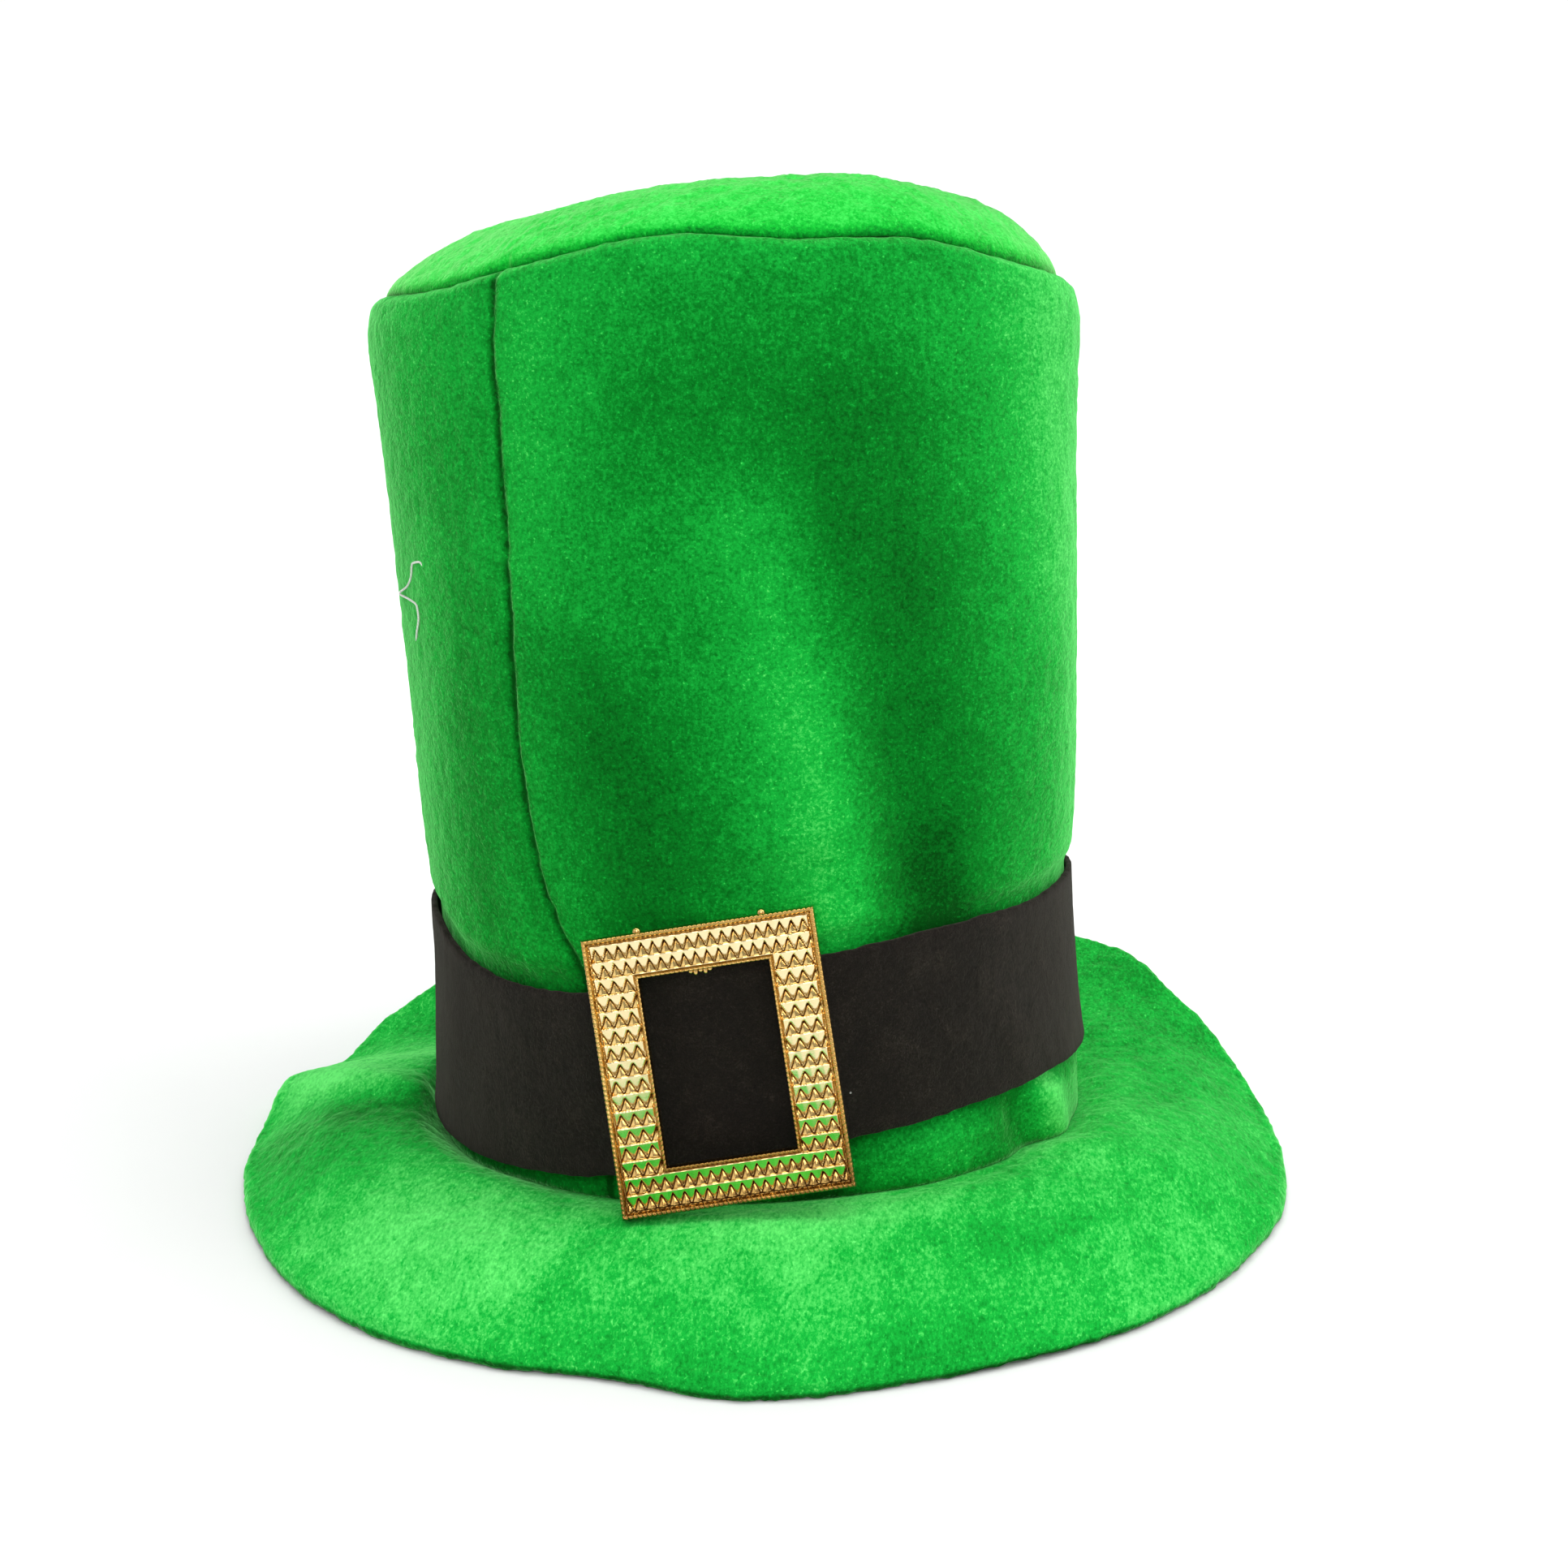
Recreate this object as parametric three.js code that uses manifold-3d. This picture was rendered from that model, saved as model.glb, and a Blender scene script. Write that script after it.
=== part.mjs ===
// Leprechaun hat: a tall plush crown with a domed tip, a soft wavy brim, a loose felt band and a gilt buckle.
// It rests on its brim. Millimetres, +Z up, the buckle looks towards -Y.
import * as THREE from 'three';
import Module from 'manifold-3d';

const wasm = await Module();
wasm.setup();
const { Manifold, CrossSection } = wasm;

// Crown
const crownWidth = 195;         // side to side at its foot
const crownDepth = 185;         // front to back at its foot
const crownHeight = 248;        // foot to top seam, along its own axis
const domeRise = 27.5;          // the tip above the top seam
const domePower = 2.8;          // how flat the tip is in its middle
const domeSkew = 6;             // the tip's high spot lies towards the right
const plushWall = 5;            // foam-backed plush
const leanBack = 5.0;           // degrees
const leanLeft = 3.2;           // degrees
const footLift = 13.6;          // middle of the crown's foot above the floor
const seamDepth = 1.6;          // groove of the upright seam
const seamSpread = 2.6;         // degrees, half width of that groove

// Brim
const brimWidth = 61;           // crown to rim
const brimPadding = 7;          // padded plush, both faces
const brimPinch = 0.76;         // its thickness at the crown seam, as a share of the padding
const brimSwell = 0.22;         // how much fuller it is near the rim, as a share of the padding
const brimFlat = 1.1;           // pressed flat against the floor

// Band
const bandHeight = 50;
const bandThickness = 1.8;      // felt
const bandPinch = 2.2;          // how far it draws the crown in
const bandSoft = 9;             // over this height the crown swells again above and below it
const bandFlattens = 0.8;       // share of the crown's folds that it presses flat

// Buckle
const buckleWidth = 61.5;
const buckleHeight = 73.5;
const buckleSide = 13.7;        // width of its upright sides
const buckleBar = 12.1;         // height of its top and bottom bars
const buckleBack = 2.6;         // plate under the relief
const rimWidth = 1.9;           // raised outer border
const rimHeight = 1.7;          // above the plate
const lipWidth = 1.4;           // raised inner border
const lipHeight = 1.3;
const reliefHeight = 0.9;       // zigzag ridges above the plate
const reliefLine = 0.75;        // width of a ridge
const reliefSwing = 0.62;       // how far a zigzag goes up and down, as a share of the rows' pitch
const sideTeeth = 3;            // points of one zigzag across a side
const sideRows = 14;            // zigzags down a side
const barTeeth = 19;            // points of one zigzag along a bar
const barRows = 2;
const nubSize = 1.5;            // casting nubs left on the edges
const topNubs = [-0.5, 0.58];   // places on the top edge, as shares of half the width
const windowNubs = [-0.22, -0.08, 0.06];   // smaller ones under the window's top edge
const windowNubSize = 1.05;
const buckleTilt = 8.4;         // degrees, its foot is pushed out by the brim
const buckleRoll = 6.3;         // degrees, turned in its own plane
const buckleTurn = 3.5;         // degrees about the crown's axis
const buckleOut = 6.9;          // its back in front of the crown, at its middle
const buckleAim = 0.6;          // its middle is set out from this share of the band's height
const pressNear = 5;            // felt and plush stay fully pressed this far around it
const pressFar = 18;            // and are free again from here

const clearance = 0.3;          // between neighbouring pieces

// Numbers of facets
const roundSteps = 54;
const foldAngle = 26;           // degrees, where the crown's facets are narrowest
const foldCrowding = 0.3;       // how much narrower they are there
const seamCrowding = [-1.9, -0.9, 0, 0.9, 1.9];   // columns beside the upright seam, in seam widths
const seamRoom = 2.2;           // seam widths that even columns keep from it
const seamPull = 24;            // degrees over which the columns lean with the seam
const brimSteps = 72;
const bandSteps = 72;

// Girth of the crown up its height: both columns are shares, of the height and of the foot's half width.
const crownRows = [
  { up: 0.00, girth: 1.000 }, { up: 0.06, girth: 1.000 }, { up: 0.14, girth: 0.997 },
  { up: 0.22, girth: 0.996 }, { up: 0.30, girth: 1.001 }, { up: 0.36, girth: 1.012 },
  { up: 0.43, girth: 1.023 }, { up: 0.55, girth: 1.032 }, { up: 0.68, girth: 1.042 },
  { up: 0.80, girth: 1.050 }, { up: 0.89, girth: 1.063 }, { up: 0.95, girth: 1.072 },
  { up: 0.983, girth: 1.060 }, { up: 1.00, girth: 1.022 },
];

// Height of the top seam round the crown: rise is a share of the crown's height.
const topSeamRows = [
  { angle: -150, rise: -0.004 }, { angle: -100, rise: -0.006 }, { angle: -70, rise: -0.006 },
  { angle: -43, rise: -0.014 }, { angle: -25, rise: 0.000 }, { angle: 0, rise: 0.018 },
  { angle: 18, rise: 0.008 }, { angle: 33, rise: 0.010 }, { angle: 60, rise: -0.008 },
  { angle: 90, rise: -0.012 }, { angle: 140, rise: -0.006 }, { angle: 180, rise: -0.002 },
];

// Run of the upright seam: angle from the buckle at shares of the crown's height.
const seamRows = [
  { up: 0.00, angle: -20 }, { up: 0.25, angle: -23 }, { up: 0.31, angle: -27 }, { up: 0.37, angle: -29.3 },
  { up: 0.52, angle: -31 }, { up: 0.70, angle: -30 }, { up: 0.88, angle: -29.3 }, { up: 1.00, angle: -28 },
];

// Soft folds of the crown: from low to high they run between two angles. depth is a share of the wall,
// minus for a valley, and spread is in degrees.
const foldRows = [
  { low: 0.20, high: 0.62, lowAngle: 36, highAngle: 27, depth: -1.05, spread: 9 },
  { low: 0.18, high: 0.66, lowAngle: 21, highAngle: 11, depth: 0.55, spread: 9 },
  { low: 0.30, high: 0.85, lowAngle: 62, highAngle: 66, depth: 0.35, spread: 16 },
  { low: 0.34, high: 0.95, lowAngle: -14, highAngle: -12, depth: 0.25, spread: 13 },
  { low: 0.30, high: 0.80, lowAngle: -66, highAngle: -60, depth: -0.30, spread: 14 },
  { low: 0.25, high: 0.70, lowAngle: 150, highAngle: 140, depth: -0.55, spread: 16 },
  { low: 0.30, high: 0.75, lowAngle: -140, highAngle: -128, depth: -0.50, spread: 15 },
];

// Brim round the crown. reach is the rim's distance from the crown's middle, as a share of half the crown's
// width plus the brim's. The heights above the floor, as shares of the brim's width, are of its upper face
// near the crown and midway, and of the middle of its rim.
const brimRows = [
  { angle: -150, reach: 1.010, near: 0.122, mid: 0.270, rim: 0.410 },
  { angle: -131, reach: 1.000, near: 0.125, mid: 0.215, rim: 0.330 },
  { angle: -117, reach: 1.003, near: 0.165, mid: 0.180, rim: 0.165 },
  { angle: -105, reach: 0.990, near: 0.265, mid: 0.220, rim: 0.050 },
  { angle: -95, reach: 1.008, near: 0.325, mid: 0.300, rim: 0.100 },
  { angle: -80, reach: 1.004, near: 0.335, mid: 0.310, rim: 0.055 },
  { angle: -62, reach: 0.995, near: 0.325, mid: 0.290, rim: 0.046 },
  { angle: -42, reach: 1.002, near: 0.322, mid: 0.272, rim: 0.040 },
  { angle: -24, reach: 0.976, near: 0.328, mid: 0.290, rim: 0.040 },
  { angle: -9, reach: 0.948, near: 0.365, mid: 0.312, rim: 0.040 },
  { angle: 5, reach: 0.976, near: 0.395, mid: 0.305, rim: 0.040 },
  { angle: 21, reach: 0.960, near: 0.415, mid: 0.320, rim: 0.040 },
  { angle: 44, reach: 0.975, near: 0.410, mid: 0.325, rim: 0.042 },
  { angle: 74, reach: 0.998, near: 0.385, mid: 0.310, rim: 0.050 },
  { angle: 92, reach: 1.010, near: 0.350, mid: 0.305, rim: 0.085 },
  { angle: 106, reach: 1.016, near: 0.325, mid: 0.325, rim: 0.165 },
  { angle: 119, reach: 1.012, near: 0.300, mid: 0.365, rim: 0.340 },
  { angle: 134, reach: 1.040, near: 0.265, mid: 0.375, rim: 0.480 },
  { angle: 156, reach: 1.042, near: 0.205, mid: 0.345, rim: 0.475 },
  { angle: 180, reach: 1.030, near: 0.140, mid: 0.310, rim: 0.445 },
];

// Felt band: its edges above the crown's foot, as shares of its height, and how far its lower and upper
// edges stand off the crown, as shares of its thickness.
const bandRows = [
  { angle: -150, low: 0.46, high: 1.48, looseLow: 0.6, looseHigh: 0.1 },
  { angle: -115, low: 0.40, high: 1.48, looseLow: 1.4, looseHigh: 0.2 },
  { angle: -92, low: 0.29, high: 1.47, looseLow: 2.1, looseHigh: 0.3 },
  { angle: -78, low: 0.215, high: 1.44, looseLow: 2.3, looseHigh: 0.3 },
  { angle: -64, low: 0.150, high: 1.36, looseLow: 2.2, looseHigh: 0.2 },
  { angle: -52, low: 0.120, high: 1.21, looseLow: 2.0, looseHigh: 0.1 },
  { angle: -40, low: 0.104, high: 1.14, looseLow: 1.7, looseHigh: 0.1 },
  { angle: -28, low: 0.116, high: 1.12, looseLow: 1.3, looseHigh: 0.1 },
  { angle: -14, low: 0.170, high: 1.16, looseLow: 1.2, looseHigh: 0.3 },
  { angle: 0, low: 0.240, high: 1.23, looseLow: 1.2, looseHigh: 0.4 },
  { angle: 18, low: 0.320, high: 1.32, looseLow: 1.2, looseHigh: 0.3 },
  { angle: 38, low: 0.384, high: 1.385, looseLow: 1.4, looseHigh: 0.1 },
  { angle: 60, low: 0.430, high: 1.41, looseLow: 1.6, looseHigh: 0.1 },
  { angle: 78, low: 0.440, high: 1.45, looseLow: 1.7, looseHigh: 0.1 },
  { angle: 100, low: 0.460, high: 1.47, looseLow: 1.3, looseHigh: 0.1 },
  { angle: 140, low: 0.470, high: 1.48, looseLow: 0.7, looseHigh: 0.1 },
  { angle: 180, low: 0.480, high: 1.49, looseLow: 0.5, looseHigh: 0.1 },
];

const rad = THREE.MathUtils.degToRad;
const lerp = THREE.MathUtils.lerp;
const clamp = THREE.MathUtils.clamp;
const smooth = (value, from, to) => THREE.MathUtils.smoothstep(value, from, to);

// A smooth curve through one column of a table, with no overshoot between its rows. A closed one goes round.
function curve(rows, along, column, closed = false) {
  const turned = (row, by) => ({ at: row[along] + by, value: row[column] });
  const list = closed
    ? [...rows.slice(-2).map((r) => turned(r, -360)), ...rows.map((r) => turned(r, 0)),
      ...rows.slice(0, 2).map((r) => turned(r, 360))]
    : rows.map((r) => turned(r, 0));
  const step = list.slice(1).map((r, i) => (r.value - list[i].value) / (r.at - list[i].at));
  const slope = list.map((r, i) => {
    if (i === 0) return step[0];
    if (i === step.length) return step[i - 1];
    return step[i - 1] * step[i] > 0 ? (2 * step[i - 1] * step[i]) / (step[i - 1] + step[i]) : 0;
  });
  return (at) => {
    let x = closed ? THREE.MathUtils.euclideanModulo(at + 180, 360) - 180 : at;
    x = clamp(x, list[0].at, list.at(-1).at);
    let i = 0;
    while (i < list.length - 2 && x > list[i + 1].at) i += 1;
    const width = list[i + 1].at - list[i].at;
    const t = (x - list[i].at) / width;
    return list[i].value * (1 + 2 * t) * (1 - t) ** 2 + list[i + 1].value * t * t * (3 - 2 * t)
      + width * (slope[i] * t * (1 - t) ** 2 - slope[i + 1] * t * t * (1 - t));
  };
}

const girth = curve(crownRows, 'up', 'girth');
const topRise = curve(topSeamRows, 'angle', 'rise', true);
const seamAngle = curve(seamRows, 'up', 'angle');
const brim = {};
for (const column of ['reach', 'near', 'mid', 'rim']) brim[column] = curve(brimRows, 'angle', column, true);
const band = {};
for (const column of ['low', 'high', 'looseLow', 'looseHigh']) band[column] = curve(bandRows, 'angle', column, true);

// The crown stands in its own frame, leaning back and to the left over its foot.
const crownFrame = new THREE.Matrix4().makeTranslation(0, 0, footLift)
  .multiply(new THREE.Matrix4().makeRotationY(-rad(leanLeft)))
  .multiply(new THREE.Matrix4().makeRotationX(-rad(leanBack)));

const turnBetween = (a, b) => THREE.MathUtils.euclideanModulo(a - b + 180, 360) - 180;
const bell = (distance, spread) => Math.exp(-((distance / spread) ** 2));

// Edges of the band in the crown's frame.
const bandLow = (angle) => band.low(angle) * bandHeight;
const bandHigh = (angle) => bandLow(angle) + (band.high(angle) - band.low(angle)) * bandHeight;

// Frame of the buckle inside the crown's frame: +X to its right, +Y up it, +Z out of its face.
const buckleTurned = new THREE.Matrix4().makeRotationZ(rad(buckleTurn))
  .multiply(new THREE.Matrix4().makeRotationX(rad(90 - buckleTilt)))
  .multiply(new THREE.Matrix4().makeRotationZ(rad(buckleRoll)));
const buckleNormal = new THREE.Vector3(0, 0, 1).transformDirection(buckleTurned);
const buckleUp = new THREE.Vector3(0, 1, 0).transformDirection(buckleTurned);
const buckleAcross = new THREE.Vector3(1, 0, 0).transformDirection(buckleTurned);

// The plain swell of the crown, before the band and the buckle press on it.
function crownSwell(angle, up) {
  let extra = 0;
  for (const fold of foldRows) {
    const along = (up - fold.low) / (fold.high - fold.low);
    if (along <= 0 || along >= 1) continue;
    const at = lerp(fold.lowAngle, fold.highAngle, along);
    extra += plushWall * fold.depth * Math.sin(Math.PI * along) ** 0.8 * bell(turnBetween(angle, at), fold.spread);
  }
  const seam = seamDepth * bell(turnBetween(angle, seamAngle(up)), seamSpread) * smooth(up, 0.02, 0.1);
  return extra - seam;
}

// How strongly the band holds the crown at this height: 1 behind it, 0 away from it.
function bandHold(angle, z) {
  return smooth(z, bandLow(angle) - bandSoft, bandLow(angle) - bandThickness)
    * (1 - smooth(z, bandHigh(angle) + bandThickness, bandHigh(angle) + bandSoft));
}

// How far the crown's outer face stands out from its plain oval.
function crownExtra(angle, z) {
  const hold = bandHold(angle, z);
  return crownSwell(angle, z / crownHeight) * (1 - bandFlattens * hold) - bandPinch * hold;
}

// A point at this distance outside the crown's plain oval.
function ovalPoint(angle, up, z, extra) {
  const t = rad(angle);
  return new THREE.Vector3((crownWidth / 2 * girth(up) + extra) * Math.sin(t),
    -(crownDepth / 2 * girth(up) + extra) * Math.cos(t), z);
}

const heightAt = (angle, up) => up * crownHeight * (1 + topRise(angle) * smooth(up, 0.4, 1));

// The foot of the crown, in the hat's frame, at a distance outside its outer face.
function footPoint(angle, outside) {
  return ovalPoint(angle, 0, 0, crownExtra(angle, 0) + outside).applyMatrix4(crownFrame);
}

// Height of the brim's upper face: share runs from the crown's foot, 0, to the rim, 1.
function brimTop(angle, share) {
  const foot = footPoint(angle, 0).z - clearance;
  const rimTop = brim.rim(angle) * brimWidth + brimPadding / 2 - brimFlat;
  const rows = [
    { share: 0, height: foot },
    { share: 0.2, height: Math.max(brim.near(angle) * brimWidth, foot) },
    { share: 0.55, height: Math.max(brim.mid(angle) * brimWidth, brimPadding) },
    { share: 1, height: Math.max(rimTop, brimPadding - brimFlat) },
  ];
  return curve(rows, 'share', 'height')(share);
}

const brimReach = (angle) => brim.reach(angle) * (crownWidth / 2 + brimWidth) - brimPadding / 2;

// Height of the brim under a point.
function brimUnder(point) {
  const angle = THREE.MathUtils.radToDeg(Math.atan2(point.x, -point.y));
  const foot = footPoint(angle, 0);
  const from = Math.hypot(foot.x, foot.y);
  return brimTop(angle, clamp((Math.hypot(point.x, point.y) - from) / (brimReach(angle) - from), 0, 1));
}

// The middle of the buckle's back, in the crown's frame: it slides down its own plane onto the brim.
function buckleSeat() {
  const middle = bandLow(0) + buckleAim * bandHeight;
  const seat = ovalPoint(0, middle / crownHeight, middle, buckleOut - bandPinch)
    .addScaledVector(buckleUp, buckleHeight / 4);
  const edge = [];
  const samples = 12;
  for (let k = 0; k <= samples; k += 1) {
    for (const out of [0, buckleBack + rimHeight]) {
      edge.push(buckleAcross.clone().multiplyScalar((k / samples - 0.5) * buckleWidth)
        .addScaledVector(buckleUp, -buckleHeight / 2).addScaledVector(buckleNormal, out));
    }
  }
  const clears = () => edge.every((p) => {
    const q = p.clone().add(seat).applyMatrix4(crownFrame);
    return q.z > brimUnder(q) + 2 * clearance;
  });
  for (let down = 0; down < buckleHeight / 2 && clears(); down += clearance) {
    seat.addScaledVector(buckleUp, -clearance);
  }
  return seat.addScaledVector(buckleUp, clearance);
}
const buckleBase = buckleSeat();

// Draws a surface point back until it lies behind the buckle's back, where the buckle covers it.
function pressed(point, gap) {
  const local = point.clone().sub(buckleBase);
  const across = Math.abs(local.dot(buckleAcross)) - buckleWidth / 2;
  const upward = Math.abs(local.dot(buckleUp)) - buckleHeight / 2;
  const cover = 1 - smooth(Math.max(across, upward), pressNear, pressFar);
  const over = (local.dot(buckleNormal) + gap) * cover;
  if (over <= 0) return point;
  return point.clone().addScaledVector(buckleNormal, -over);
}

// The crown's outer face, and the same drawn inwards.
function crownPoint(angle, up, inset = 0) {
  const z = heightAt(angle, up);
  const behind = clearance + bandHold(angle, z) * (bandThickness + clearance);
  const outer = pressed(ovalPoint(angle, up, z, crownExtra(angle, z)), behind);
  if (!inset) return outer;
  const t = rad(angle);
  return outer.add(new THREE.Vector3(-inset * Math.sin(t), inset * Math.cos(t), 0));
}

// A closed solid that goes round: section(angle) gives the same number of points in a closed loop.
function ringSolid(angles, section) {
  const loops = angles.map(section);
  const size = loops[0].length;
  const positions = loops.flatMap((loop) => loop.flatMap((p) => [p.x, p.y, p.z]));
  const index = [];
  for (let i = 0; i < loops.length; i += 1) {
    const next = (i + 1) % loops.length;
    for (let k = 0; k < size; k += 1) {
      const k2 = (k + 1) % size;
      const [a, b, c, d] = [i * size + k, next * size + k, next * size + k2, i * size + k2];
      index.push(a, b, c, a, c, d);
    }
  }
  return solidGeometry(positions, index);
}

// Facets of a closed mesh, turned outwards.
function solidGeometry(positions, index) {
  const corner = (i) => new THREE.Vector3().fromArray(positions, 3 * i);
  let volume = 0;
  for (let i = 0; i < index.length; i += 3) {
    volume += corner(index[i]).dot(corner(index[i + 1]).cross(corner(index[i + 2])));
  }
  if (volume < 0) for (let i = 0; i < index.length; i += 3) [index[i], index[i + 1]] = [index[i + 1], index[i]];
  const geometry = new THREE.BufferGeometry();
  geometry.setAttribute('position', new THREE.Float32BufferAttribute(positions, 3));
  geometry.setIndex(index);
  geometry.computeVertexNormals();
  return geometry;
}

const spread = (count) => Array.from({ length: count }, (_, i) => -180 + (360 * i) / count);

// Angles round the crown: even steps, with a few more beside the upright seam.
function crownAngles(up) {
  const at = seamAngle(up);
  const home = seamAngle(0.5);
  const crowd = THREE.MathUtils.radToDeg(foldCrowding);
  const even = spread(roundSteps).map((a) => a - crowd * Math.sin(rad(a - foldAngle)))
    .filter((a) => Math.abs(turnBetween(a, home)) > seamRoom * seamSpread);
  const beside = seamCrowding.map((k) => home + k * seamSpread);
  return [...even, ...beside].sort((a, b) => a - b)
    .map((a) => a + (at - home) * bell(turnBetween(a, home), seamPull));
}

// Heights of the crown's rows at one angle: below, behind and above the band, then up to the top seam.
function crownUps(angle, upper, behind) {
  const low = bandLow(angle) - bandThickness;
  const high = bandHigh(angle) + bandThickness;
  const swell = high + bandSoft;
  const rows = [0, low / 2, low, ...behind.map((t) => lerp(low, high, t)), high, (high + swell) / 2, swell];
  const start = swell / crownHeight;
  return [...rows.map((z) => z / crownHeight), ...upper.map((t) => lerp(start, 1, t))];
}

function crownSide() {
  const upperRows = [0.07, 0.15, 0.26, 0.40, 0.55, 0.70, 0.82, 0.90, 0.95, 0.98, 1];
  const lining = [0.24, 0.55, 0.83, 1];
  const count = crownAngles(0).length;
  const column = (i) => {
    const home = crownAngles(0.5)[i];
    const wall = (list, inset) => list.map((up) => crownPoint(crownAngles(up)[i], up, inset));
    return [...wall(crownUps(home, upperRows, [0.33, 0.67]), 0),
      ...wall(crownUps(home, lining, [0.5]).reverse(), plushWall)];
  };
  return ringSolid(Array.from({ length: count }, (_, i) => i), column);
}

// The domed tip sits on the top of the side wall and is as thick as it.
function crownTop() {
  const shares = [1, 0.97, 0.91, 0.81, 0.66, 0.48, 0.26];
  const underShares = [1, 0.86, 0.62, 0.32];
  const rise = (share, angle) => domeRise * (1 - share ** domePower)
    + domeSkew * share * (1 - share * share) * Math.sin(rad(angle));
  const edge = (angle, inset) => {
    const p = crownPoint(angle, 1, inset);
    p.z += clearance;
    return p;
  };
  const level = crownHeight + clearance;
  const place = (angle, share, inset, lift) => {
    const p = edge(angle, inset);
    return new THREE.Vector3(p.x * share, p.y * share,
      lerp(level, p.z, share ** 2) + lift * rise(share, angle));
  };
  const under = (domeRise - plushWall) / domeRise;
  const angles = crownAngles(1);
  const count = angles.length;
  const rings = [...shares.map((s) => angles.map((a) => place(a, s, 0, 1))).reverse(),
    ...underShares.map((s) => angles.map((a) => place(a, s, plushWall, under)))];
  const positions = [0, 0, level + domeRise];
  for (const ring of rings) for (const p of ring) positions.push(p.x, p.y, p.z);
  positions.push(0, 0, level + domeRise * under);
  const last = positions.length / 3 - 1;
  const index = [];
  for (let i = 0; i < count; i += 1) {
    const j = (i + 1) % count;
    index.push(0, 1 + i, 1 + j);
    for (let k = 0; k < rings.length - 1; k += 1) {
      const [a, b] = [1 + k * count + i, 1 + k * count + j];
      index.push(a, a + count, b + count, a, b + count, b);
    }
    index.push(last, last - count + j, last - count + i);
  }
  return solidGeometry(positions, index);
}

// A point over the brim at this share of the way out.
function brimPlace(angle, share, height) {
  const foot = footPoint(angle, 0);
  const reach = brimReach(angle);
  const rim = new THREE.Vector3(reach * Math.sin(rad(angle)), -reach * Math.cos(rad(angle)), 0);
  return new THREE.Vector3(lerp(foot.x, rim.x, share), lerp(foot.y, rim.y, share), height);
}

function brimPiece() {
  const topShares = [0, 0.07, 0.15, 0.26, 0.40, 0.55, 0.71, 0.85, 0.94, 1];
  const underShares = [1, 0.93, 0.80, 0.62, 0.42, 0.22, 0.06];
  const thickness = (share) => brimPadding
    * (lerp(brimPinch, 1, smooth(share, 0, 0.3)) + brimSwell * smooth(share, 0.7, 0.93));
  return ringSolid(spread(brimSteps), (angle) => {
    const out = new THREE.Vector3(Math.sin(rad(angle)), -Math.cos(rad(angle)), 0);
    const inner = footPoint(angle, -plushWall);
    inner.z -= clearance;
    const low = (z) => Math.max(0, z);
    const innerLow = inner.clone();
    innerLow.z = low(inner.z - thickness(0));
    const topPoints = topShares.map((s) => brimPlace(angle, s, brimTop(angle, s)));
    const rim = topPoints.at(-1);
    const half = brimPadding / 2;
    const edge = [60, 25, -15, -50].map((a) => {
      const p = rim.clone().addScaledVector(out, half * Math.cos(rad(a)));
      p.z = low(rim.z - half + half * Math.sin(rad(a)));
      return p;
    });
    const underPoints = underShares.map((s) => brimPlace(angle, s, low(brimTop(angle, s) - thickness(s))));
    return [inner, ...topPoints, ...edge, ...underPoints, innerLow];
  });
}

function bandPiece() {
  const levels = [0, 0.25, 0.5, 0.75, 1];
  const step = 360 / bandSteps;
  return ringSolid(spread(bandSteps), (angle) => {
    const [low, high] = [bandLow(angle), bandHigh(angle)];
    const face = (share, outside) => {
      const z = lerp(low, high, share);
      const under = Math.max(...[-step, 0, step].flatMap((by) => [-bandThickness, 0, bandThickness]
        .map((lift) => crownExtra(angle + by, clamp(z + lift, low, high)))));
      const loose = bandThickness * lerp(band.looseLow(angle), band.looseHigh(angle), share ** 0.8);
      const extra = under + clearance + loose + outside;
      return pressed(ovalPoint(angle, z / crownHeight, z, extra), clearance + bandThickness - outside);
    };
    return [...levels.map((s) => face(s, bandThickness)), ...levels.slice().reverse().map((s) => face(s, 0))];
  });
}

// A zigzag ridge on the buckle's plate, from one side to the other about a middle height.
function zigzag(from, to, y, teeth, pitch, shift) {
  const tall = reliefSwing * pitch;
  const half = (to - from) / (2 * teeth);
  const path = [];
  for (let k = 0; k <= 2 * teeth; k += 1) path.push([from + k * half, y + ((k + shift) % 2 ? -tall : tall) / 2]);
  const side = (up) => path.map(([x, level]) => [x, level + up * reliefLine]);
  const outline = [...side(-0.5), ...side(0.5).reverse()];
  return new CrossSection([outline]).extrude(reliefHeight + buckleBack / 2).translate([0, 0, buckleBack / 2]);
}

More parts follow.
